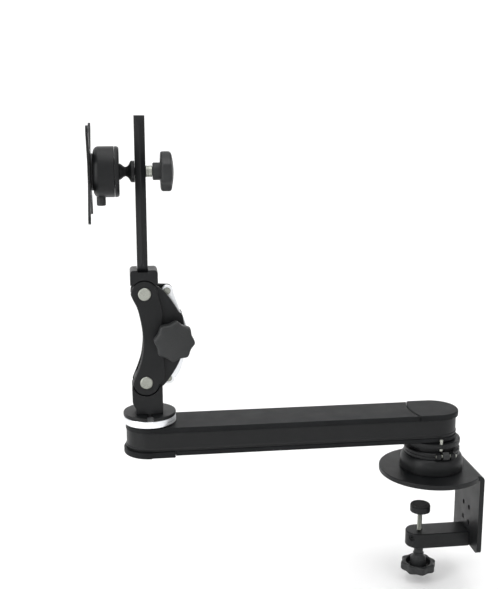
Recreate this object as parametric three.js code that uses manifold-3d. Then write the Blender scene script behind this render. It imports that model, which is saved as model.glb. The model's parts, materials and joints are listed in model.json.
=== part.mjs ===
// Desk-clamp monitor arm: screw clamp, swivelling cantilever, parallel-link yoke,
// slotted mast and a sliding ball head with an X-shaped screen plate.
// Millimetres, +Z up. Origin: underside of the desk pad, on the base swivel axis.
import * as THREE from 'three';
import { mergeVertices } from 'three/addons/utils/BufferGeometryUtils.js';
import Module from 'manifold-3d';

const wasm = await Module();
wasm.setup();

// ---- driving dimensions ----
const GAP = 0.3;                 // running clearance between neighbouring pieces
const DEG = Math.PI / 180;
const LARGE = 32;                // facets round the widest pieces
const ROUND = 24;                // facets round a large diameter
const MEDIUM = 16;               // facets round a shaft or bush
const SMALL = 12;                // facets round a fastener

const PAD_THICKNESS = 1.2;
const PLATE_BOTTOM = 1.4;
const PLATE_TOP = 7.6;
const PLATE_RADIUS = 68.8;
const UPRIGHT_INNER = 52.3;      // face of the bracket that meets the desk edge
const UPRIGHT_OUTER = 58.5;
const UPRIGHT_HALF = 44.35;
const UPRIGHT_BOTTOM = -102.3;
const CORNER_R = 6;              // bend and lower corners of the bracket
const HOLE_Y = 10;
const HOLE_R = 3.4;
const SPARE_HOLES_Z = [-51, -72];
const JAW_BOLT_Z = -93.5;

const JAW = { half: 16.6, top: -83.2, bottom: -103.9, noseX: -14.5, screwX: -12.4 };
const SCREW_R = 3.3;
const PAD_TOP = -46.2;
const PAD_BOTTOM = -56.4;
const PAD_R = 13.5;

const ARM_LENGTH = 372;
const ARM_HALF = 30.7;
const SEAM_TOP = 81.3;           // joint between core and top covers
const COVER_TOP = 88.1;
const GROOVE_TOP = 60;           // shadow groove above the bottom covers
const GROOVE_BOTTOM = 57.3;
const ARM_BOTTOM = 51.2;
const SHELL = 2.5;               // wall of the moulded covers
const FLANGE = { radius: 36.5, bottom: 44, top: 50.3 };
const SHAFT_R = 8;
const BUSH_R = 11.2;
const BORE_R = BUSH_R + GAP;

const RING = { radius: 33, bottom: 89.2, top: 98 };
const DISC_TOP = 102.4;

const PIN_A = [-375.5, 143.5];   // lower pivot of the black link, X and Z
const LINK_LENGTH = 111.9;
const STAY_OFFSET = [28, 0.8];   // from a black-link pivot to the stay pivot beside it
const PIN_C = [PIN_A[0], PIN_A[1] + LINK_LENGTH];
const PIN_B = [PIN_A[0] + STAY_OFFSET[0], PIN_A[1] + STAY_OFFSET[1]];
const PIN_D = [PIN_C[0] + STAY_OFFSET[0], PIN_C[1] + STAY_OFFSET[1]];
const KNOB_AT = [-341, 199.2];
const PIN_R = 7.8;
const STAY_PIN_R = 4.2;
const LEAN_SCREEN = 30;          // degrees the links lean towards the screen
const LEAN_BACK = 10;            // degrees they lean back over the arm
const CORE_Y = 8.3;              // half thickness of the castings between the links
const WEB_Y = 13.9;
const FACE_Y = 17.6;
const CHEEK_Y = 14.3;            // inner face of the cheeks beside the link ends

const MAST = { x: -377, half: 6.3, ridge: 17.5, flat: 11.2, bottom: 282.8, top: 469 };
const TENON_BOTTOM = 275;
const BALL = { x: -411, z: 402.8, radius: 12.5 };
const SOCKET_R = 30.3;
const VESA_HALF = 50;            // half of the 100 mm screen hole pattern
const VESA_LEFT = -438.5;
const VESA_RIGHT = -435.5;

// ---- solid helpers ----
function solid(geometry) {
  const bare = geometry.clone();
  for (const name of Object.keys(bare.attributes)) {
    if (name !== 'position') bare.deleteAttribute(name);
  }
  const merged = mergeVertices(bare, 1e-4);
  return new wasm.Manifold(new wasm.Mesh({
    numProp: 3,
    vertProperties: new Float32Array(merged.attributes.position.array),
    triVerts: new Uint32Array(merged.index.array),
  }));
}

function geometryOf(manifold) {
  const mesh = manifold.getMesh();
  const geometry = new THREE.BufferGeometry();
  geometry.setAttribute('position', new THREE.BufferAttribute(new Float32Array(mesh.vertProperties), 3));
  geometry.setIndex(new THREE.BufferAttribute(new Uint32Array(mesh.triVerts), 1));
  geometry.computeVertexNormals();
  return geometry;
}

function join(first, ...others) {
  return others.reduce((sum, next) => sum.add(next), first);
}

function cut(first, ...others) {
  return others.reduce((rest, next) => rest.subtract(next), first);
}

const AXES = {
  XY: [new THREE.Vector3(1, 0, 0), new THREE.Vector3(0, 1, 0), new THREE.Vector3(0, 0, 1)],
  XZ: [new THREE.Vector3(1, 0, 0), new THREE.Vector3(0, 0, 1), new THREE.Vector3(0, -1, 0)],
  YZ: [new THREE.Vector3(0, 1, 0), new THREE.Vector3(0, 0, 1), new THREE.Vector3(1, 0, 0)],
};

// Extrude an outline drawn in a named plane between two positions on the third axis.
function slab(points, plane, from, to) {
  const shape = new THREE.Shape(points.map(([a, b]) => new THREE.Vector2(a, b)));
  const geometry = new THREE.ExtrudeGeometry(shape, { depth: to - from, bevelEnabled: false, curveSegments: 1 });
  const [u, v, w] = AXES[plane];
  const start = plane === 'XZ' ? -to : from;
  geometry.applyMatrix4(new THREE.Matrix4().makeBasis(u, v, w).setPosition(w.clone().multiplyScalar(start)));
  return solid(geometry);
}

function box(x0, x1, y0, y1, z0, z1) {
  const geometry = new THREE.BoxGeometry(x1 - x0, y1 - y0, z1 - z0);
  geometry.translate((x0 + x1) / 2, (y0 + y1) / 2, (z0 + z1) / 2);
  return solid(geometry);
}

// Round bar along X, Y or Z between two positions, centred on (a, b) in the other two axes.
function rod(axis, radius, from, to, a, b, facets = SMALL) {
  const geometry = new THREE.CylinderGeometry(radius, radius, to - from, facets);
  const middle = (from + to) / 2;
  if (axis === 'Z') {
    geometry.rotateX(Math.PI / 2);
    geometry.translate(a, b, middle);
  } else if (axis === 'X') {
    geometry.rotateZ(-Math.PI / 2);
    geometry.translate(middle, a, b);
  } else {
    geometry.translate(a, middle, b);
  }
  return solid(geometry);
}

// Turn a closed [radius, height] profile about an upright axis; profile runs counter-clockwise.
function turned(profile, facets = ROUND) {
  const closed = profile[0][0] > 0 ? [...profile, profile[0]] : profile;
  const geometry = new THREE.LatheGeometry(closed.map(([r, h]) => new THREE.Vector2(r, h)), facets);
  geometry.rotateX(Math.PI / 2);
  return solid(geometry);
}

function place(piece, { tilt = null, at = [0, 0, 0] }) {
  const turnedPiece = tilt ? piece.rotate(tilt) : piece;
  return turnedPiece.translate(at);
}

// Turned profile with its axis along +X from the given point.
function turnedX(profile, at, facets = ROUND) {
  return place(turned(profile, facets), { tilt: [0, 90, 0], at });
}

function hexagon(radius, [a, b], turn = 0) {
  return Array.from({ length: 6 }, (_, i) => {
    const angle = turn + i * 60 * DEG;
    return [a + radius * Math.cos(angle), b + radius * Math.sin(angle)];
  });
}

function arc(centre, radius, from, to, steps) {
  return Array.from({ length: steps + 1 }, (_, i) => {
    const angle = (from + ((to - from) * i) / steps) * DEG;
    return [centre[0] + radius * Math.cos(angle), centre[1] + radius * Math.sin(angle)];
  });
}

function stadium(x0, x1, half, steps = 12) {
  return [...arc([x0, 0], half, 90, 270, steps), ...arc([x1, 0], half, -90, 90, steps)];
}

// Convex outline round a set of points (gift wrapping in order of angle).
function hull(points) {
  const sorted = [...points].sort((p, q) => p[0] - q[0] || p[1] - q[1]);
  const turnOf = (o, p, q) => (p[0] - o[0]) * (q[1] - o[1]) - (p[1] - o[1]) * (q[0] - o[0]);
  const chain = (list) => {
    const line = [];
    for (const point of list) {
      while (line.length > 1 && turnOf(line.at(-2), line.at(-1), point) <= 1e-6) line.pop();
      line.push(point);
    }
    line.pop();
    return line;
  };
  return [...chain(sorted), ...chain([...sorted].reverse())];
}

function ringOf(centre, radius, steps = 20) {
  return arc(centre, radius, 0, 360, steps).slice(0, steps);
}

// Turn an offset by degrees and set it down from a centre.
function swung([x, z], degrees, centre = [0, 0]) {
  const c = Math.cos(degrees * DEG);
  const s = Math.sin(degrees * DEG);
  return [centre[0] + x * c - z * s, centre[1] + x * s + z * c];
}

// ---- scene ----
const group = new THREE.Group();

function add(name, manifold, finish) {
  const mesh = new THREE.Mesh(geometryOf(manifold), new THREE.MeshStandardMaterial(finish));
  mesh.name = name;
  group.add(mesh);
}

const BLACK = { color: 0x232527, roughness: 0.55, metalness: 0.3 };
const MOULDED = { color: 0x2a2c2e, roughness: 0.6, metalness: 0 };
const KNOB = { color: 0x3c3e40, roughness: 0.55, metalness: 0 };
const SILVER = { color: 0xb9bdc0, roughness: 0.3, metalness: 0.95 };
const STEEL = { color: 0x9a9c9c, roughness: 0.35, metalness: 0.95 };
const BEARING = { color: 0xd8d4c8, roughness: 0.6, metalness: 0 };
const RUBBER = { color: 0x1b1b1b, roughness: 0.9, metalness: 0 };

// ---- star knob, built along +Z from its bolt side ----
const KNOB_R = 25;
const KNOB_LOBES = 8;
const LOBE_DEPTH = 2.7;
const TIP_SOFTNESS = 0.45;
const LOBE_STEPS = 8;
const HUB_R = 10.8;
const HOLLOW_DEPTH = 8;
const CROWN = 2.6;               // rise of the domed face

// Round tips joined by shallow finger hollows; phase turns the tips, in degrees.
function starOutline(radius, phase) {
  const steps = KNOB_LOBES * LOBE_STEPS;
  return Array.from({ length: steps }, (_, i) => {
    const angle = (i / steps) * 2 * Math.PI;
    const wave = Math.hypot(Math.sin((KNOB_LOBES / 2) * angle), TIP_SOFTNESS) - TIP_SOFTNESS;
    const hollow = wave / (Math.hypot(1, TIP_SOFTNESS) - TIP_SOFTNESS);
    return swung([radius - LOBE_DEPTH * hollow, 0], angle / DEG + phase);
  });
}

// stem: list of [radius, from, to]; rim gives the star's heights along the axis.
function starKnob({ radius, stem, rim, phase, boltRadius, boltDepth }) {
  const [rimFrom, rimTo] = rim;
  const star = slab(starOutline(radius, phase), 'XY', rimFrom, rimTo);
  const edge = rimTo - CROWN;
  const dome = turned([[0, rimFrom], [radius + 1, rimFrom], [radius + 1, edge - 0.6], [radius - 1, edge],
    [radius * 0.66, rimTo - CROWN * 0.4], [radius * 0.33, rimTo - CROWN * 0.1], [0, rimTo]]);
  let body = star.intersect(dome);
  body = cut(body, cut(rod('Z', radius - 7.5, rimFrom - 1, rimFrom + HOLLOW_DEPTH, 0, 0, MEDIUM),
    rod('Z', HUB_R, rimFrom - 2, rimFrom + HOLLOW_DEPTH + 1, 0, 0, MEDIUM)));
  for (const [radius, from, to] of stem) body = body.add(rod('Z', radius, from, to, 0, 0, MEDIUM));
  return cut(body, rod('Z', boltRadius, -1, boltDepth, 0, 0));
}

// ---- screw clamp ----
const cornerY = UPRIGHT_HALF - CORNER_R;
const cornerZ = UPRIGHT_BOTTOM + CORNER_R;
const uprightOutline = [
  ...arc([-cornerY, cornerZ], CORNER_R, 180, 270, 4),
  ...arc([cornerY, cornerZ], CORNER_R, 270, 360, 4),
  [UPRIGHT_HALF, 2], [-UPRIGHT_HALF, 2],
];
const chordAngle = Math.acos((UPRIGHT_INNER - 4) / PLATE_RADIUS) / DEG;
const deckOutline = arc([0, 0], PLATE_RADIUS, chordAngle, 360 - chordAngle, 32);
const bendOutline = [
  [40, PLATE_BOTTOM], [UPRIGHT_INNER - 1.5, PLATE_BOTTOM], [UPRIGHT_INNER, PLATE_BOTTOM - 1.5],
  [UPRIGHT_INNER, -8], [UPRIGHT_OUTER, -8],
  ...arc([UPRIGHT_OUTER - CORNER_R, PLATE_TOP - CORNER_R], CORNER_R, 0, 90, 6), [40, PLATE_TOP],
];
let bracket = join(
  slab(deckOutline, 'XY', PLATE_BOTTOM, PLATE_TOP),
  slab(bendOutline, 'XZ', -UPRIGHT_HALF, UPRIGHT_HALF),
  slab(uprightOutline, 'YZ', UPRIGHT_INNER, UPRIGHT_OUTER),
);
const SINK_R = 14;
bracket = cut(bracket, turned([[0, PLATE_BOTTOM - 1], [SINK_R + GAP + 1, PLATE_BOTTOM - 1],
  [SHAFT_R + GAP, PLATE_TOP - 0.9], [SHAFT_R + GAP, PLATE_TOP + 1], [0, PLATE_TOP + 1]], MEDIUM));
for (const y of [-HOLE_Y, HOLE_Y]) {
  for (const z of [...SPARE_HOLES_Z, JAW_BOLT_Z]) {
    bracket = cut(bracket, rod('X', HOLE_R, UPRIGHT_INNER - 1, UPRIGHT_OUTER + 1, y, z));
  }
}
add('clamp_bracket', bracket, BLACK);
const padOutline = arc([0, 0], PLATE_RADIUS - 4, chordAngle + 3, 357 - chordAngle, 32);
add('desk_pad', slab(padOutline, 'XY', 0, PAD_THICKNESS), RUBBER);

const jawOutline = [...arc([JAW.noseX, 0], JAW.half, 90, 270, 12), [UPRIGHT_INNER - 0.2, -JAW.half],
  [UPRIGHT_INNER - 0.2, JAW.half]];
const NOSE_TURN = 224;
const NOSE_Z = -89.3;
function noseRod(radius, from, to) {
  return place(rod('X', radius, from, to, 0, 0, 16), { tilt: [0, 0, NOSE_TURN], at: [JAW.noseX, 0, NOSE_Z] });
}
let jaw = slab(jawOutline, 'XY', JAW.bottom, JAW.top);
jaw = cut(jaw, rod('Z', SCREW_R + GAP, JAW.bottom - 1, JAW.top + 1, JAW.screwX, 0), noseRod(3.3, 6.5, 20));
for (const y of [-HOLE_Y, HOLE_Y]) jaw = cut(jaw, rod('X', 3.3, 33, 60, y, JAW_BOLT_Z));
add('jaw_bar', jaw, BLACK);
add('jaw_nose_screw', cut(noseRod(3, 7, 15.6), noseRod(1.4, 13, 17)), BLACK);
for (const [name, y] of [['jaw_bolt_near', -HOLE_Y], ['jaw_bolt_far', HOLE_Y]]) {
  const seatAt = [UPRIGHT_OUTER + 0.2, y, JAW_BOLT_Z];
  const head = turnedX([[0, 0], [5.2, 0], [5.2, 1.6], [3.6, 3.2], [0, 3.2]], seatAt, 14);
  const socket = slab(hexagon(2.3, [y, JAW_BOLT_Z]), 'YZ', UPRIGHT_OUTER + 1.2, UPRIGHT_OUTER + 5);
  add(name, cut(join(head, rod('X', 3, 34, UPRIGHT_OUTER + 0.4, y, JAW_BOLT_Z)), socket), STEEL);
}

const SCREW_TOP = PAD_BOTTOM + 4;
add('clamp_screw', rod('Z', SCREW_R, -130, SCREW_TOP, JAW.screwX, 0), SILVER);
const padBody = turned([[0, PAD_BOTTOM], [PAD_R - 1, PAD_BOTTOM], [PAD_R, PAD_BOTTOM + 1], [PAD_R, PAD_TOP - 1.5],
  [0, PAD_TOP - 1.5]], ROUND);
add('clamp_pad', place(cut(padBody, rod('Z', SCREW_R + GAP, PAD_BOTTOM - 1, SCREW_TOP + GAP, 0, 0)),
  { at: [JAW.screwX, 0, 0] }), BLACK);
const facing = turned([[0, PAD_TOP - 1.2], [PAD_R - 0.6, PAD_TOP - 1.2], [PAD_R - 0.6, PAD_TOP - 0.3],
  [PAD_R - 1.1, PAD_TOP], [0, PAD_TOP]], ROUND);
add('clamp_pad_facing', place(facing, { at: [JAW.screwX, 0, 0] }), RUBBER);
const clampKnob = starKnob({ radius: 24, stem: [[6.3, 0, 10], [8.4, 8, 14], [HUB_R, 13, 24]], rim: [20.5, 35],
  phase: 0, boltRadius: SCREW_R + GAP, boltDepth: 24 });
add('clamp_knob', place(clampKnob, { tilt: [180, 0, 0], at: [JAW.screwX, 0, -108.5] }), KNOB);

// ---- base swivel ----
const BOSS = { radius: 41.4, top: 29, inset: 6, rise: 12 };
const bossShoulder = arc([0, 0], 1, 0, 90, 5).map(([c, s]) => [
  BOSS.radius + BOSS.inset * (c - 1), BOSS.top + BOSS.rise * (s - 1)]);
add('base_boss', turned([[SHAFT_R + GAP, PLATE_TOP + 0.2], [BOSS.radius, PLATE_TOP + 0.2], ...bossShoulder,
  [SHAFT_R + GAP, BOSS.top]], LARGE), BLACK);
const COLLAR = { radius: 36.4, bottom: 29.2, step: 38, neck: 29.8, top: 42.6 };
let collar = turned([[SHAFT_R + GAP, COLLAR.bottom], [COLLAR.radius, COLLAR.bottom], [COLLAR.radius, COLLAR.step],
  [COLLAR.neck, COLLAR.step], [COLLAR.neck, COLLAR.top], [SHAFT_R + GAP, COLLAR.top]], LARGE);
const LUG_Y = -37;
const LUG_Z = 34.8;
for (const [x0, x1] of [[-6, 0], [13, 19]]) {
  collar = collar.add(box(x0, x1, LUG_Y - 3.6, -24, LUG_Z - 4, LUG_Z + 3));
}
collar = cut(collar, box(0, 13, LUG_Y - 6, LUG_Y + 6.6, LUG_Z - 6.6, COLLAR.step + 1),
  box(5, 8, -45, -15, COLLAR.bottom - 1, COLLAR.step + 1), rod('X', 2.8, -8, 22, LUG_Y, LUG_Z, 12));
add('split_collar', collar, BLACK);
add('collar_screw', rod('X', 2.5, -7, 21, LUG_Y, LUG_Z, 16), SILVER);
add('collar_nut', cut(slab(hexagon(5.6, [LUG_Y, LUG_Z], 30 * DEG), 'YZ', 2.2, 10.8),
  rod('X', 2.8, 0, 13, LUG_Y, LUG_Z, 12)), BLACK);
add('base_pivot_shaft', turned([[0, PLATE_BOTTOM + 0.1], [SINK_R, PLATE_BOTTOM + 0.1], [SHAFT_R, PLATE_TOP - 0.9],
  [SHAFT_R, 74], [SHAFT_R - 1, 75], [0, 75]], MEDIUM), STEEL);
add('base_thrust_washer', cut(rod('Z', 27, COLLAR.top + 0.2, FLANGE.bottom - 0.2, 0, 0, ROUND),
  rod('Z', SHAFT_R + GAP, 30, 60, 0, 0, MEDIUM)), BEARING);

// ---- swing arm ----
const STOP = { x: 1.4, y: -33.2, radius: 2.2, bottom: 40, top: 56.5 };
add('arm_flange', cut(rod('Z', FLANGE.radius, FLANGE.bottom, FLANGE.top, 0, 0, LARGE),
  rod('Z', BORE_R, 40, 60, 0, 0, MEDIUM), rod('Z', STOP.radius + GAP, 40, 60, STOP.x, STOP.y)), BLACK);
add('arm_stop_screw', rod('Z', STOP.radius, STOP.bottom, STOP.top, STOP.x, STOP.y), SILVER);
const BASE_FLOOR = 64.5;         // seat of the base lock nut inside the core
const FRONT_FLOOR = 68;          // roof over the front lock nut
const NUT_WELL = 15.5;
let core = join(
  slab(stadium(-ARM_LENGTH, 0, ARM_HALF), 'XY', GROOVE_TOP, SEAM_TOP),
  slab(stadium(-ARM_LENGTH, 0, ARM_HALF - 1.3), 'XY', GROOVE_BOTTOM, GROOVE_TOP + 1),
  rod('Z', 25, FLANGE.top + 0.2, GROOVE_TOP + 1, 0, 0, ROUND),
);
core = cut(core,
  slab(stadium(-ARM_LENGTH + 52, -52, ARM_HALF - 3.5), 'XY', GROOVE_TOP + 3, SEAM_TOP + 1),
  rod('Z', BORE_R, 40, 100, 0, 0, MEDIUM), rod('Z', BORE_R, 40, 100, -ARM_LENGTH, 0, MEDIUM),
  rod('Z', NUT_WELL, BASE_FLOOR, SEAM_TOP + 1, 0, 0, MEDIUM),
  rod('Z', NUT_WELL, GROOVE_BOTTOM - 1, FRONT_FLOOR, -ARM_LENGTH, 0, MEDIUM));
add('arm_core', core, BLACK);

// Curved seam between the long top cover and the end cap over the base.
const SEAM_R = 88.4;
const SEAM_CENTRE = [55.9, 0];
const seamCutter = (radius) => rod('Z', radius, 70, 100, SEAM_CENTRE[0], SEAM_CENTRE[1], LARGE);
function shellFrom(outer, inner, from, to, thick) {
  return cut(slab(outer, 'XY', from, to), slab(inner, 'XY', from - 1, to - thick));
}
let topCover = shellFrom(stadium(-ARM_LENGTH, 20, ARM_HALF), stadium(-ARM_LENGTH, -37 - ARM_HALF + SHELL,
  ARM_HALF - SHELL), SEAM_TOP + GAP, COVER_TOP, SHELL);
topCover = cut(topCover, seamCutter(SEAM_R + GAP), rod('Z', 22, 70, 100, -ARM_LENGTH, 0, MEDIUM));
add('arm_top_cover', topCover, MOULDED);
const CAP_R = 32.6;
const CAP_TOP = 88.9;
let topCap = shellFrom(stadium(-60, 0, CAP_R), stadium(-2, 0, CAP_R - SHELL), SEAM_TOP + GAP, CAP_TOP, SHELL);
topCap = topCap.intersect(seamCutter(SEAM_R));
topCap = cut(topCap, box(17, 23, -32, -24, SEAM_TOP - 1, SEAM_TOP + 1.8));
add('arm_top_end_cap', topCap, MOULDED);

const SPLIT_X = -341.4;          // joint between the two bottom covers
let bottomCover = cut(slab(stadium(-ARM_LENGTH, 0, ARM_HALF), 'XY', ARM_BOTTOM, GROOVE_BOTTOM - GAP),
  slab([[SPLIT_X + SHELL, SHELL - ARM_HALF], ...arc([0, 0], ARM_HALF - SHELL, -90, 90, 14),
    [SPLIT_X + SHELL, ARM_HALF - SHELL]], 'XY', ARM_BOTTOM + SHELL, GROOVE_BOTTOM + 1),
  box(-420, SPLIT_X, -50, 50, 40, 70), rod('Z', 25 + GAP, 40, 70, 0, 0, ROUND));
add('arm_bottom_cover', bottomCover, MOULDED);
const FOOT_R = 33.3;
const FOOT_BOTTOM = 48.9;
const FOOT_STEP_X = 1.5 - ARM_LENGTH;  // where the round lip gives way to the straight sides
const FOOT_HALF = 31.6;
const FOOT_WALL = 3;
function footShape(inset) {
  const half = FOOT_HALF - inset;
  const end = SPLIT_X - GAP - inset;
  return [...arc([-ARM_LENGTH, 0], FOOT_R - inset, 90, 270, 20), [FOOT_STEP_X, inset - FOOT_R],
    [FOOT_STEP_X, -half], [end, -half], [end, half], [FOOT_STEP_X, half], [FOOT_STEP_X, FOOT_R - inset]];
}
add('arm_bottom_end_cap', cut(slab(footShape(0), 'XY', FOOT_BOTTOM, GROOVE_BOTTOM - GAP),
  slab(footShape(FOOT_WALL), 'XY', FOOT_BOTTOM + FOOT_WALL, GROOVE_BOTTOM + 1)), MOULDED);

function bush(x, from, to) {
  return cut(rod('Z', BUSH_R, from, to, x, 0, MEDIUM), rod('Z', SHAFT_R + GAP, from - 1, to + 1, x, 0, MEDIUM));
}
add('base_bushing', bush(0, FLANGE.bottom + 0.2, BASE_FLOOR - 0.2), BEARING);
add('front_bushing', bush(-ARM_LENGTH, FRONT_FLOOR + 0.2, RING.top - 0.2), BEARING);
function lockNut(x, from, to) {
  return cut(slab(hexagon(13.8, [x, 0]), 'XY', from, to),
    rod('Z', SHAFT_R + GAP, from - 1, to + 1, x, 0, MEDIUM));
}
add('base_lock_nut', lockNut(0, BASE_FLOOR + 0.2, BASE_FLOOR + 8.4), STEEL);

// ---- front swivel and post ----
add('swivel_ring', cut(join(rod('Z', RING.radius, RING.bottom, RING.top, -ARM_LENGTH, 0, LARGE),
  rod('Z', 21.6, SEAM_TOP + 0.2, RING.bottom + 1, -ARM_LENGTH, 0, MEDIUM)),
rod('Z', BORE_R, 70, 110, -ARM_LENGTH, 0, MEDIUM)), SILVER);
add('front_pivot_shaft', join(rod('Z', SHAFT_R, 58.6, 116, -ARM_LENGTH, 0, MEDIUM),
  rod('Z', SHAFT_R - 1, 58, 116.4, -ARM_LENGTH, 0, MEDIUM)), STEEL);
add('front_lock_nut', lockNut(-ARM_LENGTH, FRONT_FLOOR - 8.4, FRONT_FLOOR - 0.2), STEEL);
const NOTCH_HALF = 4.3;
add('swivel_disc', cut(rod('Z', RING.radius, RING.top + 0.3, DISC_TOP, -ARM_LENGTH, 0, LARGE),
  rod('Z', SHAFT_R + GAP, 90, 110, -ARM_LENGTH, 0, MEDIUM),
  box(-ARM_LENGTH - NOTCH_HALF, -ARM_LENGTH + NOTCH_HALF, -40, -18, 90, 110),
  rod('Z', NOTCH_HALF, 90, 110, -ARM_LENGTH, -18)), BLACK);

const STAY_Y0 = -2.7;
const STAY_Y1 = 3.3;
const LUG_R = 15;
const STAY_LUG_R = 7.2;
const BUSHING_R = 10.3;
const END_R = 16.6;              // round ends of the black links
// The link's shoulder beside each pivot, as offsets that sweep past the castings when it leans.
const SHOULDERS = { low: [[22.3, -5.4], [30.2, 5]], high: [[20.4, 6.4], [27.2, 0.4]] };

// Solid round the black link's pivot, with one lug behind the stay.
function castingLug(main, side, root) {
  const body = join(
    slab(hull([...ringOf(main, LUG_R), ...root]), 'XZ', -CORE_Y, CORE_Y),
    slab(hull([...ringOf(main, LUG_R - 5), ...ringOf(side, STAY_LUG_R)]), 'XZ', STAY_Y1 + GAP, CORE_Y),
  );
  return cut(body, rod('Y', BUSHING_R + GAP, -20, 20, main[0], main[1], MEDIUM),
    rod('Y', STAY_PIN_R + GAP, -20, 20, side[0], side[1]));
}
// Room beside a casting for the link's round end, and behind its cheeks for the swinging shoulder.
function linkPocket(main, shoulder) {
  const swing = [-LEAN_BACK, 0, 10, 20, LEAN_SCREEN];
  const swept = shoulder.flatMap((offset) => swing.map((lean) => swung(offset, lean, main)));
  return join(...[-1, 1].flatMap((side) => {
    const level = (a, b) => (side < 0 ? [-b, -a] : [a, b]);
    return [
      slab(ringOf(main, END_R + 0.8, LARGE), 'XZ', ...level(CORE_Y, 30)),
      slab(hull([...ringOf(main, END_R + 0.8, LARGE), ...swept]), 'XZ', ...level(CORE_Y, CHEEK_Y)),
    ];
  }));
}
const POST = { left: -389, right: -355.6, bulge: -393.2, bottom: DISC_TOP + 0.2, top: 138.4, half: 17.2 };
const postOutline = [[POST.left, POST.bottom], [POST.right, POST.bottom], [POST.right, POST.top],
  [POST.bulge, POST.top], [POST.bulge, 121], [-391.8, 117], [POST.left, 113]];
let post = cut(slab(postOutline, 'XZ', -POST.half, POST.half), linkPocket(PIN_A, SHOULDERS.low),
  rod('Y', BUSHING_R + GAP, -20, 20, PIN_A[0], PIN_A[1], MEDIUM));
const stayClear = hull([...ringOf(PIN_B, STAY_LUG_R + 1), [PIN_B[0] - 9, PIN_B[1] + 20],
  [PIN_B[0] + 20, PIN_B[1] + 20]]);
post = post.add(castingLug(PIN_A, PIN_B, [[POST.left + 2, 116], [-360, 116]]));
post = cut(post, slab(stayClear, 'XZ', STAY_Y0 - GAP, STAY_Y1 + GAP),
  rod('Z', SHAFT_R + GAP, 90, 116.8, -ARM_LENGTH, 0, MEDIUM));
add('post_block', post, BLACK);

function pivotBush(pin) {
  return cut(rod('Y', BUSHING_R, -CORE_Y + 0.1, CORE_Y - 0.1, pin[0], pin[1], MEDIUM),
    rod('Y', PIN_R + 0.25, -20, 20, pin[0], pin[1], MEDIUM));
}
function pivotPin(radius, reach, pin, chamfer) {
  const profile = [[0, -reach], [radius - chamfer, -reach], [radius, chamfer - reach], [radius, reach - chamfer],
    [radius - chamfer, reach], [0, reach]];
  return place(turned(profile, MEDIUM), { tilt: [90, 0, 0], at: [pin[0], 0, pin[1]] });
}
add('lower_link_bushing', pivotBush(PIN_A), BEARING);
const stayPin = (pin) => rod('Y', STAY_PIN_R, STAY_Y0 - 0.4, CORE_Y, pin[0], pin[1]);
add('lower_stay_pin', stayPin(PIN_B), SILVER);

// ---- parallel links ----
const faceLeft = [[-392.2, 254.5], [-389.9, 248.5], [-384.3, 235.7], [-380.4, 217.5], [-378.6, 200.4], [-379, 187],
  [-381.4, 172.6], [-386, 158.8], [-391.6, 145]];
const faceRight = [[-352.6, 146], [-351.3, 158.6], [-352.4, 172], [-354.4, 186], [-354.8, 200], [-354.6, 214],
  [-353.2, 232], [-356.4, 247]];
const webRight = [[-354, 138.6], [-345.8, 148.6], [-338.4, 160], [-332.8, 171.5], [-328.4, 186], [-326.8, 200],
  [-327.2, 213.3], [-329.4, 227.3], [-333.7, 231.2], [-337.6, 238], [-342.6, 246], [-348.4, 254], [-355, 261]];
const faceOutline = [...faceLeft, ...arc(PIN_A, END_R, 182, 352, 12), ...faceRight,
  ...arc(PIN_C, END_R, 8, 178, 12)];
const webOutline = [...faceLeft, ...arc(PIN_A, END_R, 182, 318, 10), ...webRight,
  ...arc(PIN_C, END_R, 42, 178, 10)];
function link(side) {
  const near = side < 0;
  const span = (a, b) => (near ? [-b, -a] : [a, b]);
  const web = slab(webOutline, 'XZ', ...span(CORE_Y + 0.4, WEB_Y));
  const face = slab(faceOutline, 'XZ', ...span(WEB_Y - 1, FACE_Y));
  let body = join(web, face);
  for (const pin of [PIN_A, PIN_C]) body = cut(body, rod('Y', PIN_R + GAP, -30, 30, pin[0], pin[1], MEDIUM));
  return cut(body, rod('Y', 4 + GAP, -30, 30, KNOB_AT[0], KNOB_AT[1]));
}
add('link_front', link(-1), BLACK);
add('link_rear', link(1), BLACK);
add('lower_link_pin', pivotPin(PIN_R, FACE_Y + 1, PIN_A, 0.7), SILVER);
add('upper_link_pin', pivotPin(PIN_R, FACE_Y + 1, PIN_C, 0.7), SILVER);
add('yoke_bolt', rod('Y', 4, -34, 21, KNOB_AT[0], KNOB_AT[1]), SILVER);
add('yoke_nut', cut(slab(hexagon(7.5, KNOB_AT), 'XZ', WEB_Y + 0.3, WEB_Y + 6.8),
  rod('Y', 4 + GAP, 10, 30, KNOB_AT[0], KNOB_AT[1])), STEEL);
const handKnob = (phase) => starKnob({ radius: KNOB_R, stem: [[HUB_R, 0, 18]], rim: [9.6, 25.5], phase,
  boltRadius: 4 + GAP, boltDepth: 21 });
add('yoke_knob', place(handKnob(-5), { tilt: [90, 0, 0], at: [KNOB_AT[0], -WEB_Y - 0.3, KNOB_AT[1]] }), KNOB);

const stayLeft = [[-353.5, 240], [-351.8, 224], [-351, 201], [-351.8, 178], [-353.5, 162]];
const stayRight = [[-338.4, 145], [-332.5, 155.2], [-328.5, 168.1], [-325.4, 180], [-323.4, 192], [-323.2, 206],
  [-326.4, 219], [-331.6, 230.6], [-335.6, 241.5], [-338.8, 251]];
const stayOutline = [...stayLeft, ...arc(PIN_B, STAY_LUG_R, 180, 370, 12), ...stayRight,
  ...arc(PIN_D, STAY_LUG_R, 0, 180, 12)];
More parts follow.
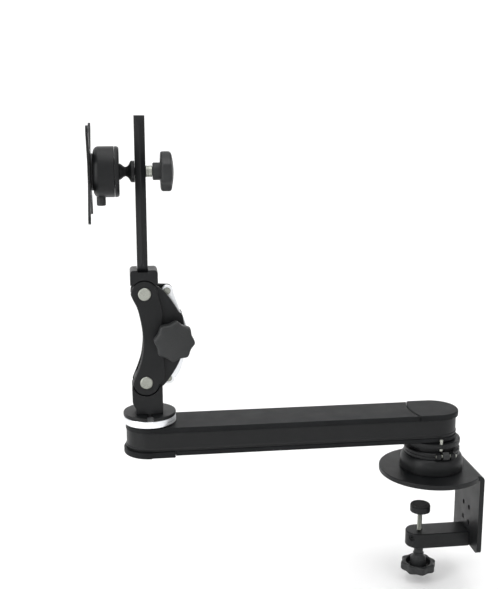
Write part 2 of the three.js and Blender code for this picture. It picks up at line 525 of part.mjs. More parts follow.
// The knob bolt's path in the stay as both links swing together.
function boltPath(lean) {
  const [x, z] = STAY_OFFSET;
  return swung([-x, -z], -lean, [KNOB_AT[0] + x, KNOB_AT[1] + z]);
}
const SLOT_STEPS = 8;
const SLOT_R = 4.5;
const slotFrom = -LEAN_BACK - 2;
const slotStep = (LEAN_SCREEN + LEAN_BACK + 4) / SLOT_STEPS;
const slotPieces = Array.from({ length: SLOT_STEPS }, (_, i) => {
  const from = boltPath(slotFrom + slotStep * i);
  const to = boltPath(slotFrom + slotStep * (i + 1));
  return slab(hull([...ringOf(from, SLOT_R, 16), ...ringOf(to, SLOT_R, 16)]), 'XZ', -10, 10);
});
let stay = cut(slab(stayOutline, 'XZ', STAY_Y0, STAY_Y1), join(...slotPieces));
for (const pin of [PIN_B, PIN_D]) stay = cut(stay, rod('Y', STAY_PIN_R + GAP, -20, 20, pin[0], pin[1]));
add('parallel_stay', stay, SILVER);

// ---- head block and mast ----
const HEAD = { left: -392.4, right: -358.8, bottom: 266.5, top: 285, half: 17.2 };
const headOutline = [[HEAD.left, HEAD.bottom], [HEAD.right, HEAD.bottom],
  ...arc([HEAD.right - 4, HEAD.top - 4], 4, 0, 90, 4), ...arc([HEAD.left + 4, HEAD.top - 4], 4, 90, 180, 4)];
let head = cut(slab(headOutline, 'XZ', -HEAD.half, HEAD.half), linkPocket(PIN_C, SHOULDERS.high));
const headRoot = [HEAD.left + 1, HEAD.right - 1].flatMap((x) => [[x, 268], [x, 272]]);
head = head.add(castingLug(PIN_C, PIN_D, headRoot));
const slotHalf = MAST.half + GAP;
head = cut(head, box(MAST.x - slotHalf, MAST.x + slotHalf, -30, 30, MAST.bottom - 0.3, 300),
  box(MAST.x - slotHalf, MAST.x + slotHalf, -10.3, 10.3, TENON_BOTTOM - 0.3, 300));
const mastScrews = [['mast_screw_near', -6], ['mast_screw_far', 6]];
const MAST_SCREW_Z = 279;
for (const [, y] of mastScrews) {
  head = cut(head, rod('X', 2.8, -382, -350, y, MAST_SCREW_Z, 16),
    rod('X', 4.6, HEAD.right - 3.4, -340, y, MAST_SCREW_Z));
}
add('head_block', head, BLACK);
const mastSection = [[-MAST.half, -MAST.flat], [0, -MAST.ridge], [MAST.half, -MAST.flat], [MAST.half, MAST.flat],
  [0, MAST.ridge], [-MAST.half, MAST.flat]].map(([x, y]) => [x + MAST.x, y]);
const SLOT = { half: 4.3, bottom: 300, top: 452 };
let mast = join(slab(mastSection, 'XY', MAST.bottom, MAST.top),
  box(MAST.x - MAST.half, MAST.x + MAST.half, -10, 10, TENON_BOTTOM, MAST.bottom + 1));
mast = cut(mast, slab([...arc([0, SLOT.top - SLOT.half], SLOT.half, 0, 180, 8),
  ...arc([0, SLOT.bottom + SLOT.half], SLOT.half, 180, 360, 8)], 'YZ', MAST.x - 10, MAST.x + 10));
for (const side of [-1, 1]) {
  for (const [z, rise] of [[MAST.top, 1], [MAST.bottom, -1]]) {
    const low = z - rise * 13.6;
    const wedge = [[side * MAST.flat, z + rise], [side * (MAST.ridge + 0.1), low], [side * 30, low],
      [side * 30, z + rise]];
    mast = cut(mast, slab(side * rise > 0 ? [...wedge].reverse() : wedge, 'YZ', MAST.x - 10, MAST.x + 10));
  }
}
for (const [, y] of mastScrews) mast = cut(mast, rod('X', 2.8, MAST.x - 4, MAST.x + 10, y, MAST_SCREW_Z, 12));
add('mast', mast, BLACK);
for (const [name, y] of mastScrews) {
  const shank = rod('X', 2.5, MAST.x - 3.6, HEAD.right - 2.5, y, MAST_SCREW_Z, 16);
  const capHead = rod('X', 4.3, HEAD.right - 3.1, HEAD.right, y, MAST_SCREW_Z);
  const socket = slab(hexagon(2.2, [y, MAST_SCREW_Z]), 'YZ', HEAD.right - 1.8, HEAD.right + 2);
  add(name, cut(join(shank, capHead), socket), STEEL);
}
add('upper_link_bushing', pivotBush(PIN_C), BEARING);
add('upper_stay_pin', stayPin(PIN_D), SILVER);

// ---- sliding ball head ----
function ballArc(radius, from, to, steps) {
  return Array.from({ length: steps + 1 }, (_, i) => {
    const angle = (from + ((to - from) * i) / steps) * DEG;
    return [radius * Math.sin(angle), radius * Math.cos(angle)];
  });
}
const ballAt = [BALL.x, 0, BALL.z];
const MAST_LEFT = MAST.x - MAST.half;
const MAST_RIGHT = MAST.x + MAST.half;
const FLANGE_LEFT = -388.3 - BALL.x;
const FLANGE_RIGHT = MAST_LEFT - GAP - BALL.x;
const STUD_END = -341.5 - BALL.x;
const waist = [[9.9, 9.8], [8.9, 11.6], [7.2, 13.6], [5.9, 15.6], [5.9, 17.6], [7.4, 19.8], [10, 21.4]];
const ballProfile = [...ballArc(BALL.radius, 180, 46, 7), ...waist, [13, FLANGE_LEFT], [13, FLANGE_RIGHT],
  [4, FLANGE_RIGHT], [4, STUD_END], [0, STUD_END]];
ballProfile[0][0] = 0;
add('ball_stud', turnedX(ballProfile, ballAt, MEDIUM), BLACK);
const spacerProfile = [[4 + GAP, MAST_RIGHT + 0.3 - BALL.x], [7, MAST_RIGHT + 0.3 - BALL.x], [7, -362.6 - BALL.x],
  [4 + GAP, -362.6 - BALL.x]];
add('slider_spacer', turnedX(spacerProfile, ballAt, MEDIUM), SILVER);
add('slider_knob', place(handKnob(22.5), { tilt: [0, 90, 0], at: [-362.3, 0, BALL.z] }), KNOB);

const SEAT_OPEN = 68;
function seat(inner, outer) {
  const profile = [...ballArc(outer, 180, SEAT_OPEN, 7), ...ballArc(inner, SEAT_OPEN, 180, 7)];
  profile[0][0] = 0;
  profile[profile.length - 1][0] = 0;
  return turnedX(profile, ballAt, MEDIUM);
}
add('ball_seat_inner', seat(12.8, 14.3), BEARING);
add('ball_seat_outer', seat(14.6, 16.1), BEARING);
const CAVITY = 16.4;
const SPLIT_FROM = 3.4;          // joint between the socket's body and its ring, from the ball's centre
const SPLIT_TO = 3.7;
const bodyBack = VESA_RIGHT + 0.3 - BALL.x;
const bodyProfile = [[0, bodyBack], [22, bodyBack], [22, -21.4], [25.5, -21.4], [28.6, -19.6], [SOCKET_R, -16.4],
  [SOCKET_R, SPLIT_FROM], ...ballArc(CAVITY, 78, 180, 7)];
bodyProfile[bodyProfile.length - 1][0] = 0;
const TENSION = { x: -424, head: 5.5, headBottom: 362.5, shankTop: 385.5 };
const screwHoles = [[-12, -12], [12, -12], [12, 12], [-12, 12]];
let socketBody = turnedX(bodyProfile, ballAt, LARGE);
socketBody = cut(socketBody, rod('Z', 3.3, 360, TENSION.shankTop + 0.4, TENSION.x, 0),
  rod('Z', TENSION.head + 0.5, 360, BALL.z - SOCKET_R + 1.2, TENSION.x, 0));
for (const [y, z] of screwHoles) socketBody = cut(socketBody, rod('X', 2.3, -440, -423.5, y, z + BALL.z, 12));
add('socket_body', socketBody, BLACK);
const ringProfile = [[16.1, SPLIT_TO], [SOCKET_R, SPLIT_TO], [SOCKET_R, 5.6], [29.2, 7.8], [26.8, 9.2], [23.5, 9.2],
  [16.6, 6.2], ...ballArc(CAVITY, 68, 76, 2)];
add('socket_ring', turnedX(ringProfile, ballAt, LARGE), BLACK);
add('ball_tension_screw', cut(join(rod('Z', 3, TENSION.headBottom + 1, TENSION.shankTop, TENSION.x, 0),
  rod('Z', TENSION.head, TENSION.headBottom, BALL.z - SOCKET_R + 0.9, TENSION.x, 0, MEDIUM)),
slab(hexagon(2.9, [TENSION.x, 0]), 'XY', TENSION.headBottom - 1, TENSION.headBottom + 4)), BLACK);

const TIP_R = 6.4;
const tips = [[VESA_HALF, VESA_HALF], [-VESA_HALF, VESA_HALF], [-VESA_HALF, -VESA_HALF], [VESA_HALF, -VESA_HALF]];
const centre = [0, BALL.z];
const ROOT_SHARE = 0.2;          // where each arm of the X starts, as a share of the way to its tip
const plateArms = tips.map(([y, z]) => slab(hull([...ringOf([y, z + BALL.z], TIP_R, 12),
  ...ringOf([y * ROOT_SHARE, z * ROOT_SHARE + BALL.z], TIP_R + 4, 12)]), 'YZ', VESA_LEFT, VESA_RIGHT));
let vesa = join(slab(ringOf(centre, 27, ROUND), 'YZ', VESA_LEFT, VESA_RIGHT), ...plateArms);
for (const [y, z] of tips) vesa = cut(vesa, rod('X', 2.5, VESA_LEFT - 1, VESA_RIGHT + 1, y, z + BALL.z));
const coneHole = [[0, -1], [4.4 + GAP, -1], [4.4 + GAP, 0.4], [2 + GAP, 2.6], [2 + GAP, 5], [0, 5]];
for (const [y, z] of screwHoles) vesa = cut(vesa, turnedX(coneHole, [VESA_LEFT, y, z + BALL.z], SMALL));
add('vesa_plate', vesa, BLACK);
screwHoles.forEach(([y, z], i) => {
  const screwAt = [VESA_LEFT, y, z + BALL.z];
  const body = turnedX([[0, 0.2], [4.4, 0.2], [4.4, 0.4], [2, 2.6], [2, 14.4], [0, 14.4]], screwAt, SMALL);
  const socket = slab(hexagon(1.4, [y, z + BALL.z]), 'YZ', VESA_LEFT - 1, VESA_LEFT + 1.8);
  add(`vesa_screw_${i + 1}`, cut(body, socket), STEEL);
});

export default group;
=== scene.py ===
"""Looks of a desk-clamp monitor arm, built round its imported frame.

Every size is in millimetres until a point is placed, and places come from the frame's own nodes and joints.
"""
import json
import logging
import math
from dataclasses import dataclass
from enum import Enum
from typing import Iterable, Sequence

import bmesh
import bpy
from mathutils import Matrix, Vector


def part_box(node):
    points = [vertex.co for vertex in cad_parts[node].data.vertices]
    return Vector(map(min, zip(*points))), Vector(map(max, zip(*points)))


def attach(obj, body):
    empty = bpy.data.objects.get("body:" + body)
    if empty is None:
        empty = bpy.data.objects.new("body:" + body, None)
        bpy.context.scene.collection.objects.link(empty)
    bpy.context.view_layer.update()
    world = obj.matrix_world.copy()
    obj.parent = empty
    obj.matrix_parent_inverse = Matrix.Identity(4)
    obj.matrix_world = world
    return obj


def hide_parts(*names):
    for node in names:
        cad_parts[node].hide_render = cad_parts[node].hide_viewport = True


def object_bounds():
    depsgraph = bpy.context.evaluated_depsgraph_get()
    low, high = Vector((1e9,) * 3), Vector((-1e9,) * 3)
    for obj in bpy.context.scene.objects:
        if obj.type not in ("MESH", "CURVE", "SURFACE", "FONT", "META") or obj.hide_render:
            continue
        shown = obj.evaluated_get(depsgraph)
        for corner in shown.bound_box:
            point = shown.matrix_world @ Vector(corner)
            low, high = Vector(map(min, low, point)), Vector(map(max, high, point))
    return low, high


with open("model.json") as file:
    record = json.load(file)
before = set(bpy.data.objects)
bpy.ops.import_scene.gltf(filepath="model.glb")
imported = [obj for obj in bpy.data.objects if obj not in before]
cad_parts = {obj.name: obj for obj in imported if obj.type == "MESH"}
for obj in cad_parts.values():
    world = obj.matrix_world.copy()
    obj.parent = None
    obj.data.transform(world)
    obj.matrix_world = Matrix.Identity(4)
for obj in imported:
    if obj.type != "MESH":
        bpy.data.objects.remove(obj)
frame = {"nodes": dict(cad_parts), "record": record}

CAD_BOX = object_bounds()
MM = 0.001
Point = tuple[float, float]
Outline = list[Point]
Ring = tuple[Outline, float]
Piece = bpy.types.Object
Colour = tuple[float, float, float, float]
log = logging.getLogger("monitor_arm")


# ---------------------------------------------------------------- places
class Facing(Enum):
    """The plane an outline is drawn in, and the way its height runs."""

    UP = "outline in X and Y, height along Z"
    ACROSS = "outline in X and Z, height along Y"
    OUT = "outline in Y and Z, height along X"

    def place(self, point: Point, height: float) -> Vector:
        """Return the point in metres for an outline point and a height in millimetres."""
        a, b = point
        spots = {Facing.UP: (a, b, height), Facing.ACROSS: (a, height, b), Facing.OUT: (height, a, b)}
        return Vector(spots[self]) * MM

    @property
    def axis(self) -> int:
        """Return the number of the axis that heights run along."""
        return {Facing.UP: 2, Facing.ACROSS: 1, Facing.OUT: 0}[self]


UP, ACROSS, OUT = Facing.UP, Facing.ACROSS, Facing.OUT


@dataclass(frozen=True)
class Span:
    """A node's box in millimetres."""

    lo: Vector
    hi: Vector

    @classmethod
    def of(cls, node: str) -> "Span":
        """Return the box of a frame node."""
        lo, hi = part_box(node)
        return cls(Vector(lo) / MM, Vector(hi) / MM)

    @property
    def centre(self) -> Vector:
        """Return the middle of the box."""
        return (self.lo + self.hi) / 2

    @property
    def size(self) -> Vector:
        """Return the box's extents."""
        return self.hi - self.lo

    def spot(self, facing: Facing) -> Point:
        """Return the middle of the box in a facing's plane."""
        first, second = (self.centre[i] for i in range(3) if i != facing.axis)
        return first, second


def pivot(joint: str) -> Vector:
    """Return a joint's place in millimetres.

    Args:
        joint: The joint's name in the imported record.

    Returns:
        The point its axis passes through.
    """
    joints = frame["record"]["behaviour"]["joints"]
    return Vector(next(j["pos_m"] for j in joints if j["name"] == joint)) / MM


# ---------------------------------------------------------------- outlines
def arc(centre: Point, radius: float, start: float, end: float, steps: int) -> Outline:
    """Return points along an arc; angles are in degrees, anticlockwise from the first axis."""
    turns = [math.radians(start + (end - start) * i / steps) for i in range(steps + 1)]
    return [(centre[0] + radius * math.cos(t), centre[1] + radius * math.sin(t)) for t in turns]


def circle(radius: float, centre: Point = (0.0, 0.0), steps: int = 72) -> Outline:
    """Return a full circle."""
    return arc(centre, radius, 0, 360, steps)[:-1]


def stadium(x0: float, x1: float, half: float, steps: int = 32) -> Outline:
    """Return two half circles round x0 and x1 joined by straight sides."""
    return arc((x0, 0), half, 90, 270, steps) + arc((x1, 0), half, -90, 90, steps)


def rounded_box(lo: Point, hi: Point, radius: float, steps: int = 5) -> Outline:
    """Return a rectangle with round corners."""
    (x0, y0), (x1, y1), r = lo, hi, radius
    corners = (((x1 - r, y0 + r), -90), ((x1 - r, y1 - r), 0),
               ((x0 + r, y1 - r), 90), ((x0 + r, y0 + r), 180))
    return [p for c, a in corners for p in arc(c, r, a, a + 90, steps)]


def hull(points: Iterable[Point]) -> Outline:
    """Return the convex outline round some points."""
    ordered = sorted(set(points))

    def chain(line: Sequence[Point]) -> Outline:
        """Return one side of the outline."""
        side: Outline = []
        for p in line:
            while len(side) > 1 and ((side[-1][0] - side[-2][0]) * (p[1] - side[-2][1])
                                     - (side[-1][1] - side[-2][1]) * (p[0] - side[-2][0])) <= 1e-9:
                side.pop()
            side.append(p)
        return side[:-1]

    return chain(ordered) + chain(ordered[::-1])


def shrink(outline: Outline, by: float) -> Outline:
    """Move each side of an anticlockwise outline inwards.

    Args:
        outline: The points, anticlockwise.
        by: The distance in millimetres; a negative one grows the outline.

    Returns:
        As many points as came in.
    """
    if not by:
        return list(outline)
    moved: Outline = []
    count = len(outline)
    for i, (x, y) in enumerate(outline):
        normals = []
        for (ax, ay), (bx, by_) in ((outline[i - 1], (x, y)), ((x, y), outline[(i + 1) % count])):
            run = math.hypot(bx - ax, by_ - ay) or 1e-9
            normals.append(Vector((-(by_ - ay) / run, (bx - ax) / run)))
        mean = normals[0] + normals[1]
        mean = mean / max(mean.length, 1e-6)
        reach = by / max(mean.dot(normals[0]), 0.45)
        moved.append((x + mean.x * reach, y + mean.y * reach))
    return moved


# ---------------------------------------------------------------- shaping
def pick(bm: bmesh.types.BMesh, wanted: Iterable[int]) -> None:
    """Select just these vertices and the edges and faces they make."""
    chosen = set(wanted)
    for part in (*bm.faces, *bm.edges, *bm.verts):
        part.select = False
    for vert in bm.verts:
        if vert.index in chosen:
            vert.select = True
    bm.select_flush(True)


def loft(name: str, rings: Sequence[Ring], facing: Facing, tube: bool = False) -> Piece:
    """Grow a closed piece from one outline to the next, as by hand with extrude.

    Args:
        name: The piece's name.
        rings: Outlines with their heights, all with the same number of points.
        facing: The plane of the outlines.
        tube: Join the last outline to the first instead of filling both.

    Returns:
        The piece, with its place in its mesh.
    """
    count = len(rings[0][0])
    bpy.ops.object.select_all(action="DESELECT")
    bpy.ops.mesh.primitive_circle_add(vertices=count, radius=1.0, fill_type="NOTHING")
    piece = bpy.context.object
    piece.name = piece.data.name = name
    for vert, point in zip(piece.data.vertices, rings[0][0]):
        vert.co = facing.place(point, rings[0][1])
    bpy.ops.object.mode_set(mode="EDIT")
    bpy.ops.mesh.select_mode(type="VERT")
    bpy.ops.mesh.select_all(action="SELECT")
    order = {i: i for i in range(count)}
    loops = [list(range(count))]
    for outline, height in rings[1:]:
        bpy.ops.mesh.extrude_edges_move()
        bm = bmesh.from_edit_mesh(piece.data)
        bm.verts.index_update()
        fresh: dict[int, int] = {}
        for vert in bm.verts:
            if vert.select:
                near = (edge.other_vert(vert).index for edge in vert.link_edges)
                source = next(index for index in near if index in order)
                fresh[vert.index] = order[source]
                vert.co = facing.place(outline[order[source]], height)
        order = fresh
        loops.append(sorted(fresh, key=fresh.get))
        bmesh.update_edit_mesh(piece.data)
    ends = [loops[0] + loops[-1]] if tube else [loops[0], loops[-1]]
    for end in ends:
        bm = bmesh.from_edit_mesh(piece.data)
        bm.verts.ensure_lookup_table()
        pick(bm, end)
        bmesh.update_edit_mesh(piece.data)
        if tube:
            bpy.ops.mesh.bridge_edge_loops()
        else:
            bpy.ops.mesh.edge_face_add()
    bpy.ops.mesh.select_all(action="SELECT")
    bpy.ops.mesh.remove_doubles(threshold=1e-6)
    bpy.ops.mesh.normals_make_consistent(inside=False)
    bpy.ops.object.mode_set(mode="OBJECT")
    return piece


def prism(outline: Outline, low: float, high: float, facing: Facing) -> Piece:
    """Raise an outline straight between two heights, as a cutter or a block to join."""
    return loft("prism", [(outline, low), (outline, high)], facing)


def soft_slab(name: str, outline: Outline, low: float, high: float, facing: Facing,
              edge: tuple[float, float] = (0.6, 0.6), steps: int = 3) -> Piece:
    """Make a plate whose two rims are rounded over.

    Args:
        name: The piece's name.
        outline: The plate's outline.
        low: Where it starts along its height.
        high: Where it ends.
        facing: The plane of the outline.
        edge: The rounding at the low and the high rim.
        steps: Facets in each rounding.

    Returns:
        The plate.
    """
    rings: list[Ring] = []
    for i in range(steps + 1):
        turn = math.pi / 2 * i / steps
        rings.append((shrink(outline, edge[0] * (1 - math.sin(turn))), low + edge[0] * (1 - math.cos(turn))))
    for i in range(steps + 1):
        turn = math.pi / 2 * i / steps
        rings.append((shrink(outline, edge[1] * (1 - math.cos(turn))), high - edge[1] * (1 - math.sin(turn))))
    return loft(name, rings, facing)


def turn(name: str, profile: Sequence[Point], centre: Point, facing: Facing, steps: int = 72,
         tube: bool = False) -> Piece:
    """Turn a profile of radius and height, as on a lathe.

    Args:
        name: The piece's name.
        profile: Pairs of radius and height.
        centre: The axis in the facing's plane.
        facing: The plane square to the axis.
        steps: Facets round the axis.
        tube: The profile closes on itself round a bore.

    Returns:
        The turned piece.
    """
    rings = [(circle(max(r, 0.02), centre, steps), h) for r, h in profile]
    return loft(name, rings, facing, tube)


def apply(piece: Piece, kind: str, **settings: object) -> None:
    """Add a modifier with its settings and apply it."""
    bpy.ops.object.select_all(action="DESELECT")
    bpy.context.view_layer.objects.active = piece
    piece.select_set(True)
    modifier = piece.modifiers.new(kind.title(), kind)
    for key, value in settings.items():
        setattr(modifier, key, value)
    bpy.ops.object.modifier_apply(modifier=modifier.name)


def combine(piece: Piece, others: Iterable[Piece], operation: str) -> Piece:
    """Join other pieces to a piece, or cut them from it, and drop them."""
    for other in others:
        apply(piece, "BOOLEAN", operation=operation, solver="EXACT", object=other)
        mesh = other.data
        bpy.data.objects.remove(other)
        bpy.data.meshes.remove(mesh)
    return piece


def drill(radius: float, centre: Point, low: float, high: float, facing: Facing, steps: int = 40) -> Piece:
    """Return a round cutter."""
    return prism(circle(radius, centre, steps), low, high, facing)


def soften(piece: Piece, width: float, angle: float = 35, segments: int = 2) -> Piece:
    """Round a piece's sharp edges by a small width."""
    apply(piece, "BEVEL", width=width * MM, segments=segments, limit_method="ANGLE",
          angle_limit=math.radians(angle), use_clamp_overlap=True, harden_normals=False)
    return piece


# ---------------------------------------------------------------- finishes
def linear(code: str) -> Colour:
    """Turn an sRGB hex code into a linear colour."""
    parts = [int(code[i:i + 2], 16) / 255 for i in (1, 3, 5)]
    values = [c / 12.92 if c <= 0.04045 else ((c + 0.055) / 1.055) ** 2.4 for c in parts]
    return (values[0], values[1], values[2], 1.0)


def add_node(tree: bpy.types.NodeTree, kind: str, inputs: dict[str, object] | None = None,
             **settings: object) -> bpy.types.Node:
    """Add a node with its settings and its inputs, each a value or a socket to link."""
    node = tree.nodes.new(kind)
    for key, value in settings.items():
        setattr(node, key, value)
    for key, value in (inputs or {}).items():
        socket = node.inputs[int(key)] if key.isdigit() else node.inputs[key]
        if isinstance(value, bpy.types.NodeSocket):
            tree.links.new(value, socket)
        else:
            socket.default_value = value
    return node


class Grain(Enum):
    """How a surface was made, which sets its pattern."""

    POWDER = "powder coat, an even orange peel"
    MOULDED = "moulded in a spark-eroded tool"
    TURNED = "turned rings about an upright axis"
    PLATED = "barrel-plated, softly mottled"
    RUBBER = "dull rubber with bloom"


@dataclass(frozen=True)
class Finish:
    """One finish: what it is, its two colours, its gloss and its grain's real size."""

    name: str
    grain: Grain
    dark: str
    light: str
    roughness: float
    spread: float
    grain_mm: float
    depth_mm: float
    metallic: float = 0.0
    ior: float = 1.5
    level: float = 0.5
    coat: float = 0.0
    axis: tuple[float, float] = (0.0, 0.0)

    def material(self) -> bpy.types.Material:
        """Return this finish as a node material, made once."""
        known = bpy.data.materials.get(self.name)
        if known:
            return known
        made = bpy.data.materials.new(self.name)
        made.use_nodes = True
        tree = made.node_tree
        tree.nodes.clear()
        place = add_node(tree, "ShaderNodeTexCoord").outputs["Object"]
        fine = add_node(tree, "ShaderNodeTexNoise", {"Vector": place, "Scale": 1000 / self.grain_mm,
                                                     "Detail": 3.0, "Roughness": 0.6})
        cloud = add_node(tree, "ShaderNodeTexNoise", {"Vector": place, "Scale": 38.0, "Detail": 4.0,
                                                      "Roughness": 0.55})
        blend = add_node(tree, "ShaderNodeMath", {"0": cloud.outputs["Fac"], "1": fine.outputs["Fac"]},
                         operation="MULTIPLY")
        tint = add_node(tree, "ShaderNodeValToRGB", {"Fac": blend.outputs[0]})
        tint.color_ramp.elements[0].position = 0.12
        tint.color_ramp.elements[0].color = linear(self.dark)
        tint.color_ramp.elements[1].position = 0.42
        tint.color_ramp.elements[1].color = linear(self.light)
        gloss = add_node(tree, "ShaderNodeMapRange", {"Value": cloud.outputs["Fac"], "From Min": 0.3,
                                                      "From Max": 0.7, "To Min": self.roughness - self.spread,
                                                      "To Max": self.roughness + self.spread})
        relief = self.relief(tree, place, fine.outputs["Fac"])
        bump = add_node(tree, "ShaderNodeBump", {"Height": relief, "Strength": 0.6,
                                                 "Distance": self.depth_mm * MM})
        shader = add_node(tree, "ShaderNodeBsdfPrincipled", {
            "Base Color": tint.outputs["Color"], "Roughness": gloss.outputs["Result"],
            "Normal": bump.outputs["Normal"], "Metallic": self.metallic, "Coat Weight": self.coat,
            "Coat Roughness": 0.3})
        if not self.metallic:
            shader.inputs["IOR"].default_value = self.ior
            shader.inputs["Specular IOR Level"].default_value = self.level
        out = add_node(tree, "ShaderNodeOutputMaterial")
        tree.links.new(shader.outputs["BSDF"], out.inputs["Surface"])
        return made

    def relief(self, tree: bpy.types.NodeTree, place: bpy.types.NodeSocket,
               fine: bpy.types.NodeSocket) -> bpy.types.NodeSocket:
        """Return the height that the bump reads."""
        if self.grain is Grain.TURNED:
            shifted = add_node(tree, "ShaderNodeMapping", {"Vector": place, "Location": (
                -self.axis[0] * MM, -self.axis[1] * MM, 0.0)})
            rings = add_node(tree, "ShaderNodeTexWave", {"Vector": shifted.outputs[0], "Scale": 160.0,
                                                         "Distortion": 0.4, "Detail": 1.0},
                             wave_type="BANDS", bands_direction="Z")
            return rings.outputs["Fac"]
        if self.grain is Grain.POWDER:
            peel = add_node(tree, "ShaderNodeTexVoronoi", {"Vector": place, "Scale": 900 / self.grain_mm},
                            feature="SMOOTH_F1")
            both = add_node(tree, "ShaderNodeMath", {"0": peel.outputs["Distance"], "1": fine},
                            operation="ADD")
            return both.outputs[0]
        return fine


# Powder coat on steel and castings: near black, satin, an even fine peel that softens every highlight.
POWDER_COAT = Finish("powder_coat_black", Grain.POWDER, "#0f1011", "#161718",
                     0.42, 0.05, 0.9, 0.05, level=0.22)
# Glass-filled nylon covers: a little greyer than the coat, with a drier sheen.
MOULDED_NYLON = Finish("moulded_nylon_black", Grain.MOULDED, "#131415", "#1b1c1d",
                       0.46, 0.04, 0.7, 0.04, level=0.09)
# Hand knobs in glass-filled nylon: dark grey, dull, the fibre just showing as a mottle.
KNOB_NYLON = Finish("knob_nylon_grey", Grain.MOULDED, "#1f2021", "#292a2a", 0.48, 0.06, 0.8, 0.05, level=0.3)
# Polished aluminium: bright and cool, with fine tool rings that stretch the highlights.
POLISHED_ALUMINIUM = Finish("polished_aluminium", Grain.TURNED, "#868a90", "#aaaeb3",
                            0.2, 0.06, 1.2, 0.02, 1.0)
# Zinc-plated steel: pale, slightly green-grey, softly mottled by the plating barrel.
ZINC_STEEL = Finish("zinc_plated_steel", Grain.PLATED, "#898b84", "#adafa7", 0.34, 0.08, 1.1, 0.03, 1.0)
# Natural nylon bearings: warm white and waxy.
BEARING_NYLON = Finish("bearing_nylon", Grain.MOULDED, "#c9c3b2", "#ddd8c9", 0.45, 0.05, 0.8, 0.03)
# Rubber pads: black and dull, greyed by bloom.
PAD_RUBBER = Finish("pad_rubber", Grain.RUBBER, "#141414", "#232323", 0.8, 0.08, 0.9, 0.08)

SLOT_FINISH = {"powder_black": POWDER_COAT, "moulded_black": MOULDED_NYLON, "knob_nylon": KNOB_NYLON,
               "polished_aluminium": POLISHED_ALUMINIUM, "bright_steel": ZINC_STEEL,
               "bearing_nylon": BEARING_NYLON, "pad_rubber": PAD_RUBBER}
NODE_SLOT = {s["node"]: s["material_slot"] for s in frame["record"]["subparts"]}
NODE_BODY = {n: b for b, nodes in frame["record"]["behaviour"]["bodies"].items() for n in nodes}


def hand_over(piece: Piece, *nodes: str, smooth: float = 32) -> Piece:
    """Dress a finished piece and let it stand for its nodes.

    Args:
        piece: The finished piece.
        nodes: The frame nodes it stands for; the first sets its body and finish.
        smooth: The angle below which edges shade smooth.

    Returns:
        The piece.
    """
    slot = NODE_SLOT[nodes[0]]
    piece.name = piece.data.name = f"{nodes[0]}_finished"
    piece.data.materials.clear()
    piece.data.materials.append(SLOT_FINISH[slot].material())
    bpy.ops.object.select_all(action="DESELECT")
    bpy.context.view_layer.objects.active = piece
    piece.select_set(True)
    bpy.ops.object.shade_smooth_by_angle(angle=math.radians(smooth))
    apply(piece, "WEIGHTED_NORMAL", keep_sharp=True, weight=60)
    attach(piece, NODE_BODY[nodes[0]])
    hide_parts(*nodes)
    log.info("%s: %d faces", piece.name, len(piece.data.polygons))
    return piece


# ---------------------------------------------------------------- repeated pieces
@dataclass
class HandKnob:
    """A star knob with round lobes, a domed face, a hollow back and a hub."""

    node: str
    facing: Facing
    sense: float
    neck: float = 0.0
    lobes: int = 8
    radius: float = 25.0
    phase: float = 0.0
    depth: float = 2.7
    softness: float = 0.45
    hub: float = 10.6
    steps: int = 192

    def star(self, inset: float, share: float, centre: Point) -> Outline:
        """Return the outline with rounded tips, set in by a distance; share scales the hollows."""
        points = []
        for i in range(self.steps):
            angle = 2 * math.pi * i / self.steps
            wave = math.hypot(math.sin(self.lobes / 2 * angle), self.softness) - self.softness
            hollow = wave / (math.hypot(1, self.softness) - self.softness)
            radius = self.radius - inset - self.depth * share * hollow
            turned = angle + math.radians(self.phase)
            points.append((centre[0] + radius * math.cos(turned), centre[1] + radius * math.sin(turned)))
        return points

    def build(self) -> Piece:
        """Return the finished knob."""
        span = Span.of(self.node)
        axis, centre = self.facing.axis, span.spot(self.facing)
        bolt_side = span.lo[axis] if self.sense > 0 else span.hi[axis]
        depth = span.size[axis]

        def at(t: float) -> float:
            """Return the height at a distance from the bolt side."""
            return bolt_side + self.sense * t

        rim = depth - (14.5 if self.neck else 15.9)
        well = self.radius - 7.6
        stem = [(4.4, 0.2), (self.hub - 0.9, 0.2), (self.hub, 1.1)]
        if self.neck:
            collar = [(6.1, -6.5), (7.2, -6), (7.2, -4.6), (6.5, -4.3), (6.5, -3.5), (7.2, -3.2), (7.6, -1.8),
                      (9.2, -0.2), (self.hub, 1.2)]
            stem = [(4.0, 0.2), (6.1, 0.2)] + [(radius, self.neck + t) for radius, t in collar]
        back = [(self.hub, rim + 6.0), (self.hub + 0.8, rim + 7.2), (well - 1.2, rim + 7.4),
                (well, rim + 5.8), (well + 0.5, rim + 0.9)]
        rings = [(circle(radius, centre, self.steps), at(t)) for radius, t in stem + back]
        edge = [(3.4, 0.5, rim), (1.5, 0.9, rim + 0.35), (0.4, 1.0, rim + 1.3), (0.0, 1.0, rim + 2.6),
                (0.0, 1.0, depth - 5.4), (0.5, 1.0, depth - 4.2), (1.6, 0.95, depth - 3.3),
                (3.6, 0.75, depth - 2.6)]
        rings += [(self.star(inset, share, centre), at(t)) for inset, share, t in edge]
        face = [(9.0, 1.55), (13.5, 0.85), (18.0, 0.35), (21.5, 0.08)]
        rings += [(circle(self.radius - inset, centre, self.steps), at(depth - t)) for inset, t in face]
        return hand_over(loft(self.node, rings, self.facing), self.node, smooth=40)


